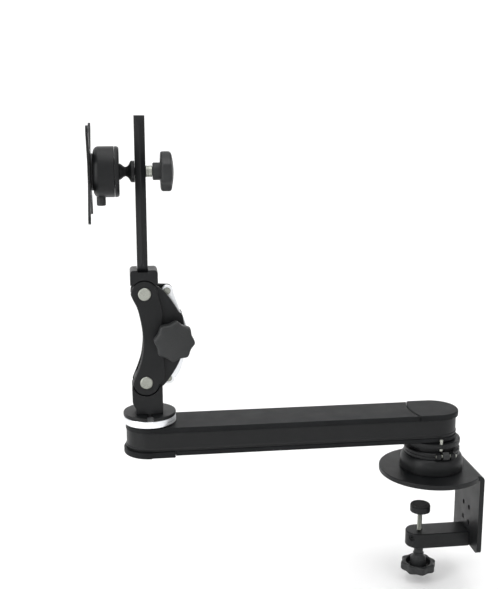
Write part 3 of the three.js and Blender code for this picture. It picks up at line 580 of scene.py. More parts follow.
def screw_thread(node: str, radius: float, pitch: float, facing: Facing, shown: Point) -> Piece:
    """Make a threaded rod whose thread is cut over the length that shows.

    Args:
        node: The rod's node.
        radius: Its outer radius.
        pitch: The thread's pitch.
        facing: The plane square to its axis.
        shown: Where along its height the thread starts and ends.

    Returns:
        The finished rod.
    """
    span = Span.of(node)
    axis, centre = facing.axis, span.spot(facing)
    sides, slices, chamfer = 20, 5, 0.6
    depth = 0.6 * pitch

    def ring(height: float) -> Ring:
        """Return one slice of the thread."""
        points = []
        for i in range(sides):
            angle = 2 * math.pi * i / sides
            phase = (height / pitch - angle / (2 * math.pi)) % 1.0
            reach = radius - depth * abs(2 * phase - 1)
            points.append((centre[0] + reach * math.cos(angle), centre[1] + reach * math.sin(angle)))
        return points, height

    full, small = circle(radius, centre, sides), circle(radius - chamfer, centre, sides)
    count = int((shown[1] - shown[0]) / pitch * slices)
    rings = [(small, span.lo[axis]), (full, span.lo[axis] + chamfer)]
    rings += [ring(shown[0] + pitch * i / slices) for i in range(count + 1)]
    rings += [(full, span.hi[axis] - chamfer), (small, span.hi[axis])]
    return hand_over(loft(node, rings, facing), node, smooth=50)


# ---------------------------------------------------------------- clamp
@dataclass
class Clamp:
    """The bent bracket, its pads, the jaw and the clamp screw."""

    sheet: float = 6.2
    upright_half: float = 44.35
    hole_y: float = 10.0
    hole_heights: tuple[float, float] = (-51, -72)
    nose_screw_height: float = -89.3
    nose_screw_turn: float = 224.0

    def build(self) -> None:
        """Build and dress every piece of the clamp."""
        self.bracket()
        self.pads()
        self.jaw()
        HandKnob("clamp_knob", UP, -1.0, neck=14.0, radius=24.0).build()
        screw_thread("clamp_screw", 3.3, 1.0, UP, (-83.0, -57.0))

    def bracket(self) -> None:
        """Build the D-shaped plate, the bend and the upright as one bent sheet."""
        span = Span.of("clamp_bracket")
        radius, top, bottom = -span.lo.x, span.hi.z, span.lo.z
        inner, outer = span.hi.x - self.sheet, span.hi.x
        chord = math.degrees(math.acos((inner - 4) / radius))
        under, half = top - self.sheet, self.upright_half
        deck = soft_slab("bracket", arc((0, 0), radius, chord, 360 - chord, 120), under, top, UP, (0.5, 0.9))
        bend = [(36, top), (36, under), (inner - 2, under), *arc((inner - 2, under - 2), 2, 90, 0, 4),
                (inner, -12), (outer, -12), *arc((outer - 7, top - 7), 7, 0, 90, 10)]
        elbow = prism(bend[::-1], -half, half, ACROSS)
        leg = prism(rounded_box((-half, bottom), (half, -8), 6, 6), inner, outer, OUT)
        piece = combine(deck, [elbow, leg], "UNION")
        holes = [drill(3.4, (y, z), inner - 2, outer + 2, OUT)
                 for y in (-self.hole_y, self.hole_y) for z in self.hole_heights]
        combine(piece, holes, "DIFFERENCE")
        hand_over(soften(piece, 0.7), "clamp_bracket", smooth=35)

    def pads(self) -> None:
        """Build the desk pad, the clamp pad and its rubber facing."""
        span = Span.of("desk_pad")
        radius = -span.lo.x
        chord = math.degrees(math.acos(span.hi.x / radius))
        outline = arc((0, 0), radius, chord, 360 - chord, 100)
        hand_over(soft_slab("desk_pad", outline, span.lo.z, span.hi.z, UP, (0.3, 0.3)), "desk_pad")
        pad, face = Span.of("clamp_pad"), Span.of("clamp_pad_facing")
        centre, r, low, high = (pad.centre.x, 0.0), pad.size.x / 2, pad.lo.z, pad.hi.z
        profile = [(3.6, low + 4), (3.6, low), (r - 1.0, low), (r - 0.3, low + 0.3), (r, low + 1.0),
                   (r, high - 0.4), (r - 0.4, high)]
        hand_over(turn("clamp_pad", profile, centre, UP), "clamp_pad")
        r, top = face.size.x / 2, face.hi.z
        profile = [(r, face.lo.z), (r, top - 0.5), (r - 0.5, top), (r - 2.2, top), (r - 2.6, top - 0.35),
                   (r - 3.4, top - 0.35), (r - 3.8, top), (2.0, top)]
        hand_over(turn("clamp_pad_facing", profile, centre, UP), "clamp_pad_facing")

    def jaw(self) -> None:
        """Build the jaw bar with its bores, and its bolts and nose screw."""
        span = Span.of("jaw_bar")
        half = span.size.y / 2
        nose = (span.lo.x + half, 0.0)
        outline = arc(nose, half, 90, 270, 40) + [(span.hi.x, -half), (span.hi.x, half)]
        bar = soft_slab("jaw", outline, span.lo.z, span.hi.z, UP, (1.6, 1.6), 4)
        screw = Span.of("clamp_screw").centre
        hole = drill(3.2, (0.0, 0.0), 6.5, 20, OUT)
        place = Matrix.Translation(Vector((nose[0], 0, self.nose_screw_height)) * MM)
        turned = place @ Matrix.Rotation(math.radians(self.nose_screw_turn), 4, "Z")
        recess = drill(4.4, (0.0, 0.0), 15.2, 20, OUT)
        for cutter in (hole, recess):
            cutter.data.transform(turned)
        bore = drill(3.7, (screw.x, 0), span.lo.z - 2, span.hi.z + 2, UP)
        combine(bar, [hole, recess, bore], "DIFFERENCE")
        hand_over(bar, "jaw_bar", smooth=35)
        profile = [(2.9, 7.0), (2.9, 15.0), (2.4, 15.5), (1.4, 15.5), (1.4, 13.5)]
        grub = turn("grub", profile, (0.0, 0.0), OUT, 32)
        grub.data.transform(turned)
        hand_over(grub, "jaw_nose_screw", smooth=40)
        for node in ("jaw_bolt_near", "jaw_bolt_far"):
            self.button_bolt(node)

    def button_bolt(self, node: str) -> None:
        """Build one button-head bolt with a hexagon socket."""
        span = Span.of(node)
        centre, face = span.spot(OUT), span.hi.x
        profile = [(3.0, span.lo.x), (3.0, face - 3.2), (5.0, face - 3.2), (5.2, face - 2.7),
                   (4.9, face - 1.6), (4.2, face - 0.6), (3.2, face - 0.05), (2.9, face)]
        bolt = turn("bolt", profile, centre, OUT, 40)
        socket = prism(circle(2.4, centre, 6), face - 2, face + 1, OUT)
        hand_over(combine(bolt, [socket], "DIFFERENCE"), node, smooth=35)


# ---------------------------------------------------------------- base swivel
@dataclass
class BaseSwivel:
    """The boss, the split friction collar with its adjuster, the washer's flange and the pivot."""

    bore: float = 8.4

    def build(self) -> None:
        """Build and dress the base swivel."""
        span = Span.of("base_boss")
        r, low, high = span.size.x / 2, span.lo.z, span.hi.z
        profile = [(self.bore, low), (r - 0.8, low), (r, low + 0.8)]
        profile += [(r - 6 + 6 * math.cos(math.radians(a)), high - 12 + 12 * math.sin(math.radians(a)))
                    for a in range(0, 91, 6)]
        profile.append((self.bore, high))
        hand_over(turn("boss", profile, (0, 0), UP, 128, tube=True), "base_boss")
        self.collar()
        flange = Span.of("arm_flange")
        fr, f0, f1 = flange.size.x / 2, flange.lo.z, flange.hi.z
        profile = [(11.8, f0), (fr - 1.2, f0), (fr - 0.3, f0 + 0.4), (fr, f0 + 1.2), (fr, f1 - 1.4),
                   (fr - 0.4, f1 - 0.4), (fr - 1.4, f1), (11.8, f1)]
        ring = turn("flange", profile, (0, 0), UP, 128, tube=True)
        stop = Span.of("arm_stop_screw")
        spot, s0, s1 = stop.spot(UP), stop.lo.z, stop.hi.z
        combine(ring, [drill(2.6, spot, f0 - 2, f1 + 2, UP, 24)], "DIFFERENCE")
        hand_over(ring, "arm_flange")
        profile = [(1.2, s0), (2.0, s0 + 0.8), (2.2, s0 + 1.4), (2.2, s1 - 0.5), (1.8, s1), (1.1, s1),
                   (1.0, s1 - 1.6)]
        screw = turn("stop", profile, spot, UP, 28)
        hand_over(screw, "arm_stop_screw", smooth=40)
        shaft = Span.of("base_pivot_shaft")
        h0, h1 = shaft.lo.z, shaft.hi.z
        profile = [(13.9, h0), (8.0, h0 + 5.4), (8.0, h1 - 1), (7.2, h1)]
        hand_over(turn("shaft", profile, (0, 0), UP, 48), "base_pivot_shaft")

    def collar(self) -> None:
        """Build the split collar, its two lugs, the adjusting screw and the nut between them."""
        span, nut, screw = Span.of("split_collar"), Span.of("collar_nut"), Span.of("collar_screw")
        r, low, high = span.size.x / 2, span.lo.z, span.hi.z
        step = high - 4.6
        profile = [(self.bore, low), (r - 0.6, low), (r, low + 0.6), (r, low + 3.9), (r - 0.9, low + 4.1),
                   (r - 0.9, low + 4.5), (r, low + 4.7), (r, step - 0.8), (r - 0.8, step), (30.0, step),
                   (29.8, step + 0.3), (29.8, high - 0.6), (29.2, high), (self.bore, high)]
        collar = turn("collar", profile, (0, 0), UP, 128, tube=True)
        y, z = screw.centre.y, screw.centre.z
        side = rounded_box((y - 3.5, z - 4), (-24, z + 3), 1.6, 4)
        lugs = [soft_slab("lug", side, x0, x1, OUT) for x0, x1 in ((-6, 0), (13, 19))]
        combine(collar, lugs, "UNION")
        gap = prism(rounded_box((5, -45), (8, -15), 0.4), low - 1, step + 0.5, UP)
        well = prism(rounded_box((y - 9, z - 6.6), (y + 6.6, step + 1), 0.8), 0.02, 12.98, OUT)
        combine(collar, [gap, well], "DIFFERENCE")
        hand_over(soften(collar, 0.35), "split_collar", smooth=35)
        hexagon = arc((y, z), 5.5, 30, 390, 6)[:-1]
        hand_over(soft_slab("nut", hexagon, nut.lo.x, nut.hi.x, OUT, (0.7, 0.7)), "collar_nut", smooth=25)
        screw_thread("collar_screw", 2.5, 0.8, OUT, (screw.lo.x + 1.5, screw.hi.x - 1.5))


# ---------------------------------------------------------------- swing arm
@dataclass
class SwingArm:
    """The arm's core, its covers and caps, and the polished swivel ring."""

    half: float = 30.7
    seam_radius: float = 88.4
    seam_centre: float = 55.9

    def build(self) -> None:
        """Build and dress the arm."""
        self.length = -pivot("post_swivel").x
        self.core()
        self.covers()
        self.ring()

    def core(self) -> None:
        """Build the core with its shadow groove and raised side beads."""
        span = Span.of("arm_core")
        outline = stadium(-self.length, 0, self.half, 40)
        groove, top = span.lo.z + 9.4, span.hi.z
        low = groove - 2.7
        steps = [(1.4, low), (1.3, groove - 0.1), (0.9, groove), (0.25, groove + 0.1), (0.0, groove + 0.5),
                 (0.0, groove + 1.2), (0.85, groove + 2.2), (0.85, top - 0.8), (1.1, top - 0.2), (1.6, top)]
        rings = [(shrink(outline, inset), height) for inset, height in steps]
        core = loft("core", rings, UP)
        hub = turn("hub", [(25, span.lo.z), (25, groove)], (0, 0), UP, 64)
        combine(core, [hub], "UNION")
        front, back = (-self.length, 0), (0, 0)
        bores = ((11.4, back, 30, 120), (11.4, front, 30, 120), (15.4, front, low - 1, 68),
                 (15.4, back, 64.5, top + 1))
        combine(core, [drill(radius, spot, z0, z1, UP, 48) for radius, spot, z0, z1 in bores], "DIFFERENCE")
        hand_over(core, "arm_core", smooth=35)

    def seam(self, shift: float) -> Outline:
        """Return the curved joint between the top cover and its end cap, from the near side."""
        radius = self.seam_radius + shift
        reach = math.degrees(math.asin(self.half / radius))
        return arc((self.seam_centre, 0), radius, 180 + reach, 180 - reach, 24)

    @staticmethod
    def shell(node: str, outline: Outline, rounds: tuple[float, float], cutter: Piece) -> None:
        """Build one moulded cover from its outline and cut its opening."""
        span = Span.of(node)
        cover = soft_slab(node, outline, span.lo.z, span.hi.z, UP, rounds, 4)
        combine(cover, [cutter], "DIFFERENCE")
        hand_over(cover, node, smooth=35)

    def covers(self) -> None:
        """Build the two covers and the two round end caps."""
        cap = Span.of("arm_top_end_cap")
        left = arc((-self.length, 0), self.half, 90, 270, 40)
        self.shell("arm_top_cover", left + self.seam(0.3), (0.25, 1.3),
                   drill(22, (-self.length, 0), 60, 120, UP, 64))
        radius = cap.hi.x
        reach = math.degrees(math.asin((radius - 0.02) / self.seam_radius))
        edge = arc((self.seam_centre, 0), self.seam_radius, 180 - reach, 180 + reach, 24)
        outline = edge + arc((0, 0), radius, -90, 90, 48)
        notch = rounded_box((17, -34), (23, -22), 0.5)
        self.shell("arm_top_end_cap", outline, (0.35, 2.2), prism(notch, cap.lo.z - 1, cap.lo.z + 1.8, UP))
        cover, foot = Span.of("arm_bottom_cover"), Span.of("arm_bottom_end_cap")
        right = arc((0, 0), self.half, -90, 90, 40)
        outline = [(cover.lo.x, self.half), (cover.lo.x, -self.half)] + right
        self.shell("arm_bottom_cover", outline, (1.2, 1.0), drill(25.4, (0, 0), 30, 80, UP, 64))
        fr = foot.size.y / 2
        step, flank = 1.5 - self.length, fr - 1.7
        round_end = [(foot.hi.x, flank), (step, flank), (step, fr), *arc((-self.length, 0), fr, 90, 270, 48),
                     (step, -fr), (step, -flank), (foot.hi.x, -flank)]
        self.shell("arm_bottom_end_cap", round_end, (1.8, 0.9),
                   drill(27, (-self.length, 0), foot.lo.z + 3, foot.hi.z + 2, UP, 48))

    def ring(self) -> None:
        """Build the swivel ring with two fine grooves round its wall."""
        span = Span.of("swivel_ring")
        centre, r = (-self.length, 0.0), span.size.x / 2
        low, high = Span.of("arm_top_cover").hi.z + 1.1, span.hi.z
        profile = [(21.5, span.lo.z), (21.5, low), (r - 0.8, low), (r - 0.2, low + 0.3), (r, low + 0.9)]
        for height in (low + 2.6, high - 2.8):
            profile += [(r, height - 0.35), (r - 0.3, height), (r, height + 0.35)]
        profile += [(r, high - 0.9), (r - 0.3, high - 0.3), (r - 0.9, high), (11.6, high), (11.6, span.lo.z)]
        ring = turn("ring", profile, centre, UP, 144, tube=True)
        x0, x1, y0, y1 = centre[0] - 3, centre[0] + 3, -r - 1, 0.4 - r
        flat = [(x0, y0), (x1, y0), (x1, y1), (x0, y1)]
        combine(ring, [prism(flat, low + 3.4, high + 1, UP)], "DIFFERENCE")
        hand_over(ring, "swivel_ring", smooth=30)


# ---------------------------------------------------------------- post and links
@dataclass
class Yoke:
    """The post, the parallel links, the star-knob lock and the head block."""

    core_half: float = 8.3
    lug: float = 15.0
    stay_lug: float = 7.2
    pin: float = 7.8
    stay_face: float = 3.6
    cheek: float = 14.3
    # The post block's waist: offsets from its back face, and heights.
    waist: tuple[Point, ...] = ((0, 119.5), (0.5, 117.0), (2.0, 113.4), (4.2, 110.0))
    head_low: float = 266.5
    mast_seat: float = 282.5
    tenon_floor: float = 274.7
    tenon_half: float = 10.3
    swings: tuple[float, ...] = (-10.0, 0.0, 10.0, 20.0, 30.0)

    def build(self) -> None:
        """Build and dress the yoke."""
        lower, upper = pivot("link_tilt"), pivot("head_level")
        self.a, self.c = (lower.x, lower.z), (upper.x, upper.z)
        stay, lock = pivot("stay_tilt"), pivot("yoke_knob_turn")
        self.b = (stay.x, stay.z)
        self.d = (stay.x, stay.z + upper.z - lower.z)
        self.k = (lock.x, lock.z)
        self.post()
        self.links()
        self.stay()
        self.head()
        HandKnob("yoke_knob", ACROSS, -1.0, phase=-5.0).build()

    def from_a(self, points: Sequence[Point]) -> Outline:
        """Return points given as offsets from the lower pin."""
        return [(self.a[0] + x, self.a[1] + z) for x, z in points]

    def lugs(self, main: Point, side: Point, root: Outline) -> Piece:
        """Build a casting's lug between the black links, with one ear behind the stay."""
        solid = hull(circle(self.lug, main, 48) + root)
        ear = hull(circle(self.lug - 5, main, 48) + circle(self.stay_lug, side, 32))
        body = prism(solid, -self.core_half, self.core_half, ACROSS)
        return combine(body, [prism(ear, self.stay_face, self.core_half, ACROSS)], "UNION")

    def pockets(self, main: Point, shoulder: Sequence[Point]) -> list[Piece]:
        """Return cutters for the links' round ends and, behind the cheeks, for their swinging shoulders."""
        swept = []
        for x, z in shoulder:
            for lean in self.swings:
                c, s = math.cos(math.radians(lean)), math.sin(math.radians(lean))
                swept.append((main[0] + x * c - z * s, main[1] + x * s + z * c))
        end = circle(17.4, main, 72)
        wide = hull(end + swept)
        cutters = []
        for side in (-1, 1):
            for outline, reach in ((end, 30.0), (wide, self.cheek)):
                low, high = sorted((side * self.core_half, side * reach))
                cutters.append(prism(outline, low, high, ACROSS))
        return cutters

    def post(self) -> None:
        """Build the notched disc and the post block on it."""
        disc = Span.of("swivel_disc")
        centre, r, d0, d1 = (disc.centre.x, 0.0), disc.size.x / 2, disc.lo.z, disc.hi.z
        profile = [(8.4, d0), (r - 0.5, d0), (r, d0 + 0.5), (r, d1 - 0.9), (r - 0.3, d1 - 0.3), (r - 0.9, d1),
                   (8.4, d1)]
        plate = turn("disc", profile, centre, UP, 144, tube=True)
        notch = arc((centre[0], -18), 4.3, 0, 180, 16) + [(centre[0] - 4.3, -40), (centre[0] + 4.3, -40)]
        combine(plate, [prism(notch, d0 - 1, d1 + 1, UP)], "DIFFERENCE")
        hand_over(soften(plate, 0.25), "swivel_disc", smooth=30)
        span = Span.of("post_block")
        left, right, low, half = span.lo.x, self.a[0] + 19.9, span.lo.z, span.size.y / 2
        top = self.a[1] - 5.1
        outline = [(left + self.waist[-1][0], low), (right, low), (right, top - 0.6), (right - 0.6, top),
                   (left + 0.6, top), (left, top - 0.6), *((left + x, z) for x, z in self.waist)]
        block = soft_slab("block", outline, -half, half, ACROSS, (1.0, 1.0), 3)
        combine(block, self.pockets(self.a, [(22.3, -5.4), (30.2, 5.0)]), "DIFFERENCE")
        combine(block, [self.lugs(self.a, self.b, [(left + 6, 116), (self.a[0] + 15.5, 116)])], "UNION")
        combine(block, [drill(self.pin + 0.4, self.a, -20, 20, ACROSS, 48),
                        drill(4.4, self.b, -20, 20, ACROSS, 32)], "DIFFERENCE")
        hand_over(soften(block, 0.4), "post_block", "lower_link_bushing", smooth=35)

    def links(self) -> None:
        """Build the two black crescents with their raised faces, and the pins through them."""
        left = self.from_a([(-16.7, 111), (-14.4, 105), (-8.8, 92.2), (-4.9, 74), (-3.1, 56.9), (-3.5, 43.5),
                            (-5.9, 29.1), (-10.5, 15.3), (-16.1, 1.5)])
        right = self.from_a([(22.9, 2.5), (23.8, 15.1), (23.1, 28.5), (21.1, 42.5), (20.7, 56.5),
                             (20.9, 70.5), (22.3, 88.5), (19.1, 103.5)])
        web = self.from_a([(21.5, -4.9), (29.7, 5.1), (37.1, 16.5), (42.7, 28), (47.1, 42.5), (48.7, 56.5),
                           (48.3, 69.8), (46.1, 83.8), (41.8, 87.7), (37.9, 94.5), (32.9, 102.5),
                           (27.1, 110.5), (20.5, 117.5)])
        end = 16.6
        face_outline = self.even(
            left + arc(self.a, end, 182, 352, 24) + right + arc(self.c, end, 8, 178, 24), 1.6)
        web_outline = self.even(
            left + arc(self.a, end, 182, 318, 20) + web + arc(self.c, end, 42, 178, 20), 1.6)
        for node, side in (("link_front", -1.0), ("link_rear", 1.0)):
            heights = sorted((side * 8.7, side * 13.9))
            body = soft_slab("web", web_outline, heights[0], heights[1], ACROSS,
                             (1.8, 0.4) if side < 0 else (0.4, 1.8), 4)
            tall = sorted((side * 12.5, side * 17.6))
            raised = soft_slab("face", shrink(face_outline, 0.6), tall[0], tall[1], ACROSS,
                               (1.1, 0.1) if side < 0 else (0.1, 1.1), 4)
            combine(body, [raised], "UNION")
            cuts = [drill(self.pin + 0.3, p, -30, 30, ACROSS, 56) for p in (self.a, self.c)]
            combine(body, cuts + [drill(4.3, self.k, -30, 30, ACROSS, 32)], "DIFFERENCE")
            hand_over(body, node, smooth=38)
        for node in ("lower_link_pin", "upper_link_pin"):
            span = Span.of(node)
            near, far, r = span.lo.y, span.hi.y, self.pin
            rings = [(0.5, near), (r - 1.6, near + 0.06), (r - 1.1, near + 0.1), (r - 0.5, near + 0.35),
                     (r, near + 1.0), (r, far - 1.0), (r - 0.5, far - 0.35), (r - 1.1, far - 0.1),
                     (r - 1.6, far - 0.12)]
            hand_over(turn(node, rings, span.spot(ACROSS), ACROSS, 64), node, smooth=30)
        bolt = Span.of("yoke_bolt")
        screw_thread("yoke_bolt", 4.0, 1.25, ACROSS, (13.0, bolt.hi.y - 1.2))
        nut = Span.of("yoke_nut")
        hexagon = circle(7.4, self.k, 6)
        hand_over(soft_slab("nut", hexagon, nut.lo.y, nut.hi.y, ACROSS, (0.7, 0.7)), "yoke_nut", smooth=25)

    @staticmethod
    def even(outline: Outline, pitch: float) -> Outline:
        """Return a smooth outline with points about a pitch apart, through the given points."""
        count = len(outline)
        smooth: Outline = []
        for i in range(count):
            p0, p1, p2, p3 = (Vector(outline[(i + k) % count]) for k in (-1, 0, 1, 2))
            run = (p2 - p1).length
            parts = max(1, round(run / pitch))
            for step in range(parts):
                t = step / parts
                point = 0.5 * ((2 * p1) + (p2 - p0) * t + (2 * p0 - 5 * p1 + 4 * p2 - p3) * t * t
                               + (3 * p1 - p0 - 3 * p2 + p3) * t ** 3) if parts > 1 else p1
                smooth.append((point.x, point.y))
        return smooth

    def stay(self) -> None:
        """Build the silver stay link with its arc slot."""
        left = self.from_a([(22, 96.5), (23.7, 80.5), (24.5, 57.5), (23.7, 34.5), (22, 18.5)])
        right = self.from_a([(37.1, 1.5), (43, 11.7), (47, 24.6), (50.1, 36.5), (52.1, 48.5), (52.3, 62.5),
                             (49.1, 75.5), (43.9, 87.1), (39.9, 98), (36.7, 107.5)])
        outline = self.even(left + arc(self.b, self.stay_lug, 180, 370, 24) + right
                            + arc(self.d, self.stay_lug, 0, 180, 24), 1.8)
        span = Span.of("parallel_stay")
        link = soft_slab("stay", outline, span.lo.y, span.hi.y, ACROSS, (1.0, 1.0), 3)
        back = Vector((self.a[0] - self.b[0], self.a[1] - self.b[1]))
        path = []
        for i in range(13):
            swing = math.radians(-12 + 44 * i / 12)
            moved = Matrix.Rotation(-swing, 2) @ back - back
            path.append((self.k[0] + moved.x, self.k[1] + moved.y))
        half = 4.5
        sides = [[(x + s * half, z) for x, z in path] for s in (1, -1)]
        slot = (arc(path[0], half, 180, 360, 10) + sides[0][1:-1]
                + arc(path[-1], half, 0, 180, 10) + sides[1][-2:0:-1])
        bores = [drill(half, spot, -9, 9, ACROSS, 32) for spot in (self.b, self.d)]
        combine(link, [prism(slot, -8, 8, ACROSS), *bores], "DIFFERENCE")
        hand_over(link, "parallel_stay", smooth=35)

    def head(self) -> None:
        """Build the head block with its lugs and the mast's socket."""
        span = Span.of("head_block")
        left, right, low = span.lo.x, self.c[0] + 16.7, self.head_low
        top, half = span.hi.z, span.size.y / 2
        outline = [(left, low), (right, low), *arc((right - 4.2, top - 4.2), 4.2, 0, 90, 8),
                   *arc((left + 4.2, top - 4.2), 4.2, 90, 180, 8)]
        block = soft_slab("block", outline, -half, half, ACROSS, (1.0, 1.0), 3)
        combine(block, self.pockets(self.c, [(20.4, 6.4), (27.2, 0.4)]), "DIFFERENCE")
        root = [(x, z) for x in (left + 1, right - 1) for z in (268, 272)]
        combine(block, [self.lugs(self.c, self.d, root)], "UNION")
        mast = Span.of("mast")
        x0, x1, above = mast.lo.x - 0.3, mast.hi.x + 0.3, 300
        through = rounded_box((x0, -30), (x1, 30), 0.2)
        pocket = rounded_box((x0, -self.tenon_half), (x1, self.tenon_half), 0.2)
        screws = [drill(4.7, Span.of(node).spot(OUT), right - 3.4, right + 5, OUT)
                  for node in ("mast_screw_near", "mast_screw_far")]
        combine(block, [prism(through, self.mast_seat, above, UP), prism(pocket, self.tenon_floor, above, UP),
                        drill(self.pin + 0.4, self.c, -20, 20, ACROSS, 48),
                        drill(4.4, self.d, -20, 20, ACROSS, 32), *screws], "DIFFERENCE")
        hand_over(soften(block, 0.4), "head_block", "upper_link_bushing", smooth=35)


# ---------------------------------------------------------------- mast and ball head
@dataclass
class MastAndBall:
    """The slotted mast, the ball stud, the socket and the X-shaped screen plate."""

    ridge: float = 17.5
    flat: float = 11.2
    foot: float = 282.8
    bevel_run: float = 13.6
    slot_ends: Point = (300, 452)
    slot_half: float = 4.3
    collar: float = -387.6

    def build(self) -> None:
        """Build and dress the mast, the ball head and the screen plate."""
        ball = pivot("screen_roll")
        self.x, self.centre = ball.x, (0.0, ball.z)
        self.mast()
        self.stud()
        self.socket()
        self.plate()
        HandKnob("slider_knob", OUT, 1.0, phase=22.5).build()

    def mast(self) -> None:
        """Build the flat bar with bevelled edges, cut corners and its long slot."""
        span = Span.of("mast")
        x, half, low, high = span.centre.x, span.size.x / 2, span.lo.z, span.hi.z
        flat, edge, foot = self.flat, self.ridge - 0.4, self.foot
        section = [(x + a, b) for a, b in ((-half, -flat), (-0.5, -edge), (0.5, -edge), (half, -flat),
                                           (half, flat), (0.5, edge), (-0.5, edge), (-half, flat))]
        bar = prism(section, foot, high, UP)
        bpy.ops.object.select_all(action="DESELECT")
        bpy.context.view_layer.objects.active = bar
        bar.select_set(True)
        bpy.ops.object.mode_set(mode="EDIT")
        for side in (-1, 1):
            for z, rise in ((high, 1), (foot, -1)):
                bpy.ops.mesh.select_all(action="SELECT")
                on_plane = Vector((x, side * flat, z)) * MM
                run = Vector((0, side * (self.ridge - flat), -rise * self.bevel_run))
                normal = Vector((0, side * abs(run.z), rise * abs(run.y))).normalized()
                bpy.ops.mesh.bisect(plane_co=on_plane, plane_no=normal, use_fill=True, clear_outer=True)
        bpy.ops.object.mode_set(mode="OBJECT")
        tenon = prism(rounded_box((x - half, -10), (x + half, 10), 0.3), low, foot + 1.2, UP)
        combine(bar, [tenon], "UNION")
        (bottom, top), wide = self.slot_ends, self.slot_half
        slot = arc((0, top - wide), wide, 0, 180, 20) + arc((0, bottom + wide), wide, 180, 360, 20)
        combine(bar, [prism(slot, x - 12, x + 12, OUT)], "DIFFERENCE")
        hand_over(soften(bar, 0.45, 30), "mast", smooth=30)

    def stud(self) -> None:
        """Build the ball stud and the silver spacer behind the mast."""
        span = Span.of("ball_stud")
        profile = arc((0, self.x), 12.5, -84, 44, 16)
        waist = [(9.9, 9.8), (8.9, 11.6), (7.2, 13.6), (6.1, 15.2), (5.6, 16.6), (6.0, 18.0), (7.4, 19.8),
                 (10.0, 21.4), (12.4, 22.6)]
        profile += [(reach, self.x + out) for reach, out in waist]
        shoulder = ((13.0, 0.0), (13.0, 3.4), (12.5, 3.9), (4.0, 4.0))
        profile += [(reach, self.collar + out) for reach, out in shoulder]
        profile += [(4.0, span.hi.x - 0.5), (3.5, span.hi.x)]
        stud = turn("stud", profile, self.centre, OUT, 56)
        hand_over(stud, "ball_stud", smooth=35)
        sleeve = Span.of("slider_spacer")
        r2, x0, x1 = 7.0, sleeve.lo.x, sleeve.hi.x
        profile = [(4.4, x0), (r2 - 0.5, x0), (r2, x0 + 0.5), (r2, x0 + 2.2), (r2 - 0.5, x0 + 2.5),
                   (r2 - 0.5, x0 + 3.0), (r2, x0 + 3.3), (r2, x1 - 0.5), (r2 - 0.5, x1), (4.4, x1)]
        hand_over(turn("sleeve", profile, self.centre, OUT, 48, tube=True), "slider_spacer")

    def socket(self) -> None:
        """Build the socket's body, its retaining ring and the tension screw."""
        span, ring, screw = Span.of("socket_body"), Span.of("socket_ring"), Span.of("ball_tension_screw")
        r, x0, x1 = span.size.z / 2, span.lo.x, span.hi.x
        profile = [(1.0, x0), (21.6, x0), (22.0, x0 + 0.4), (22.0, x0 + 2.2), (22.5, x0 + 2.8)]
        profile += arc((r - 7, x0 + 9.8), 7, -90, 0, 9) + [(r, x1 - 0.7), (r - 0.5, x1)]
        profile += arc((0, self.x), 16.4, 12, -78, 9)
        body = turn("socket", profile, self.centre, OUT, 112)
        hand_over(body, "socket_body", smooth=32)
        e0, e1 = ring.lo.x, ring.hi.x
        profile = [(16.4, e0), (r - 0.5, e0), (r, e0 + 0.7), (r, e1 - 3.2), (r - 0.5, e1 - 1.5),
                   (r - 1.6, e1 - 0.4), (r - 2.9, e1), (24.2, e1), (23.3, e1 - 0.3), (17.0, e1 - 2.9),
                   (15.6, e1 - 3.3), (15.8, e1 - 5.0)]
        hand_over(turn("ring", profile, self.centre, OUT, 112, tube=True), "socket_ring", smooth=32)
        spot, low, high, head = (screw.centre.x, 0.0), screw.lo.z, screw.hi.z, screw.size.x / 2
        top = self.centre[1] - r + 0.8
        profile = [(3.4, low + 0.1), (head - 0.9, low), (head, low + 0.9), (head, top), (3, top), (3, high)]
        bolt = turn("tension", profile, spot, UP, 48)
        combine(bolt, [prism(circle(2.9, spot, 6), low - 1, low + 4, UP)], "DIFFERENCE")
        hand_over(bolt, "ball_tension_screw", smooth=35)

    def plate(self) -> None:
        """Build the X-shaped screen plate with its countersinks, and its four screws."""
        span = Span.of("vesa_plate")
        x0, x1, z = span.lo.x, span.hi.x, self.centre[1]
        spots = [Span.of(f"vesa_screw_{i}") for i in (1, 2, 3, 4)]
        plate = prism(circle(27, self.centre, 64), x0, x1, OUT)
        arms = []
        for y, dz in ((50, 50), (-50, 50), (-50, -50), (50, -50)):
            outline = hull(circle(6.35, (y, z + dz), 40) + circle(10.4, (y * 0.2, z + dz * 0.2), 40))
            arms.append(prism(outline, x0, x1, OUT))
        combine(plate, arms, "UNION")
        cuts = [drill(2.5, (y, z + dz), x0 - 1, x1 + 1, OUT, 32) for y in (50, -50) for dz in (50, -50)]
        for spot in spots:
            profile = [(5.0, x0 - 1), (4.8, x0 + 0.1), (2.3, x0 + 2.9), (2.3, x1 + 1)]
            cuts.append(turn("cutter", profile, spot.spot(OUT), OUT, 32))
        combine(plate, cuts, "DIFFERENCE")
        hand_over(soften(plate, 0.4), "vesa_plate", smooth=35)
        for number, spot in enumerate(spots, 1):
            profile = [(4.2, x0 + 0.2), (4.4, x0 + 0.4), (2.0, x0 + 2.7), (2.0, spot.hi.x - 0.6),
                       (1.5, spot.hi.x)]
            bolt = turn("screw", profile, spot.spot(OUT), OUT, 36)
            combine(bolt, [prism(circle(1.5, spot.spot(OUT), 6), x0 - 1, x0 + 2, OUT)], "DIFFERENCE")
            hand_over(bolt, f"vesa_screw_{number}", smooth=35)


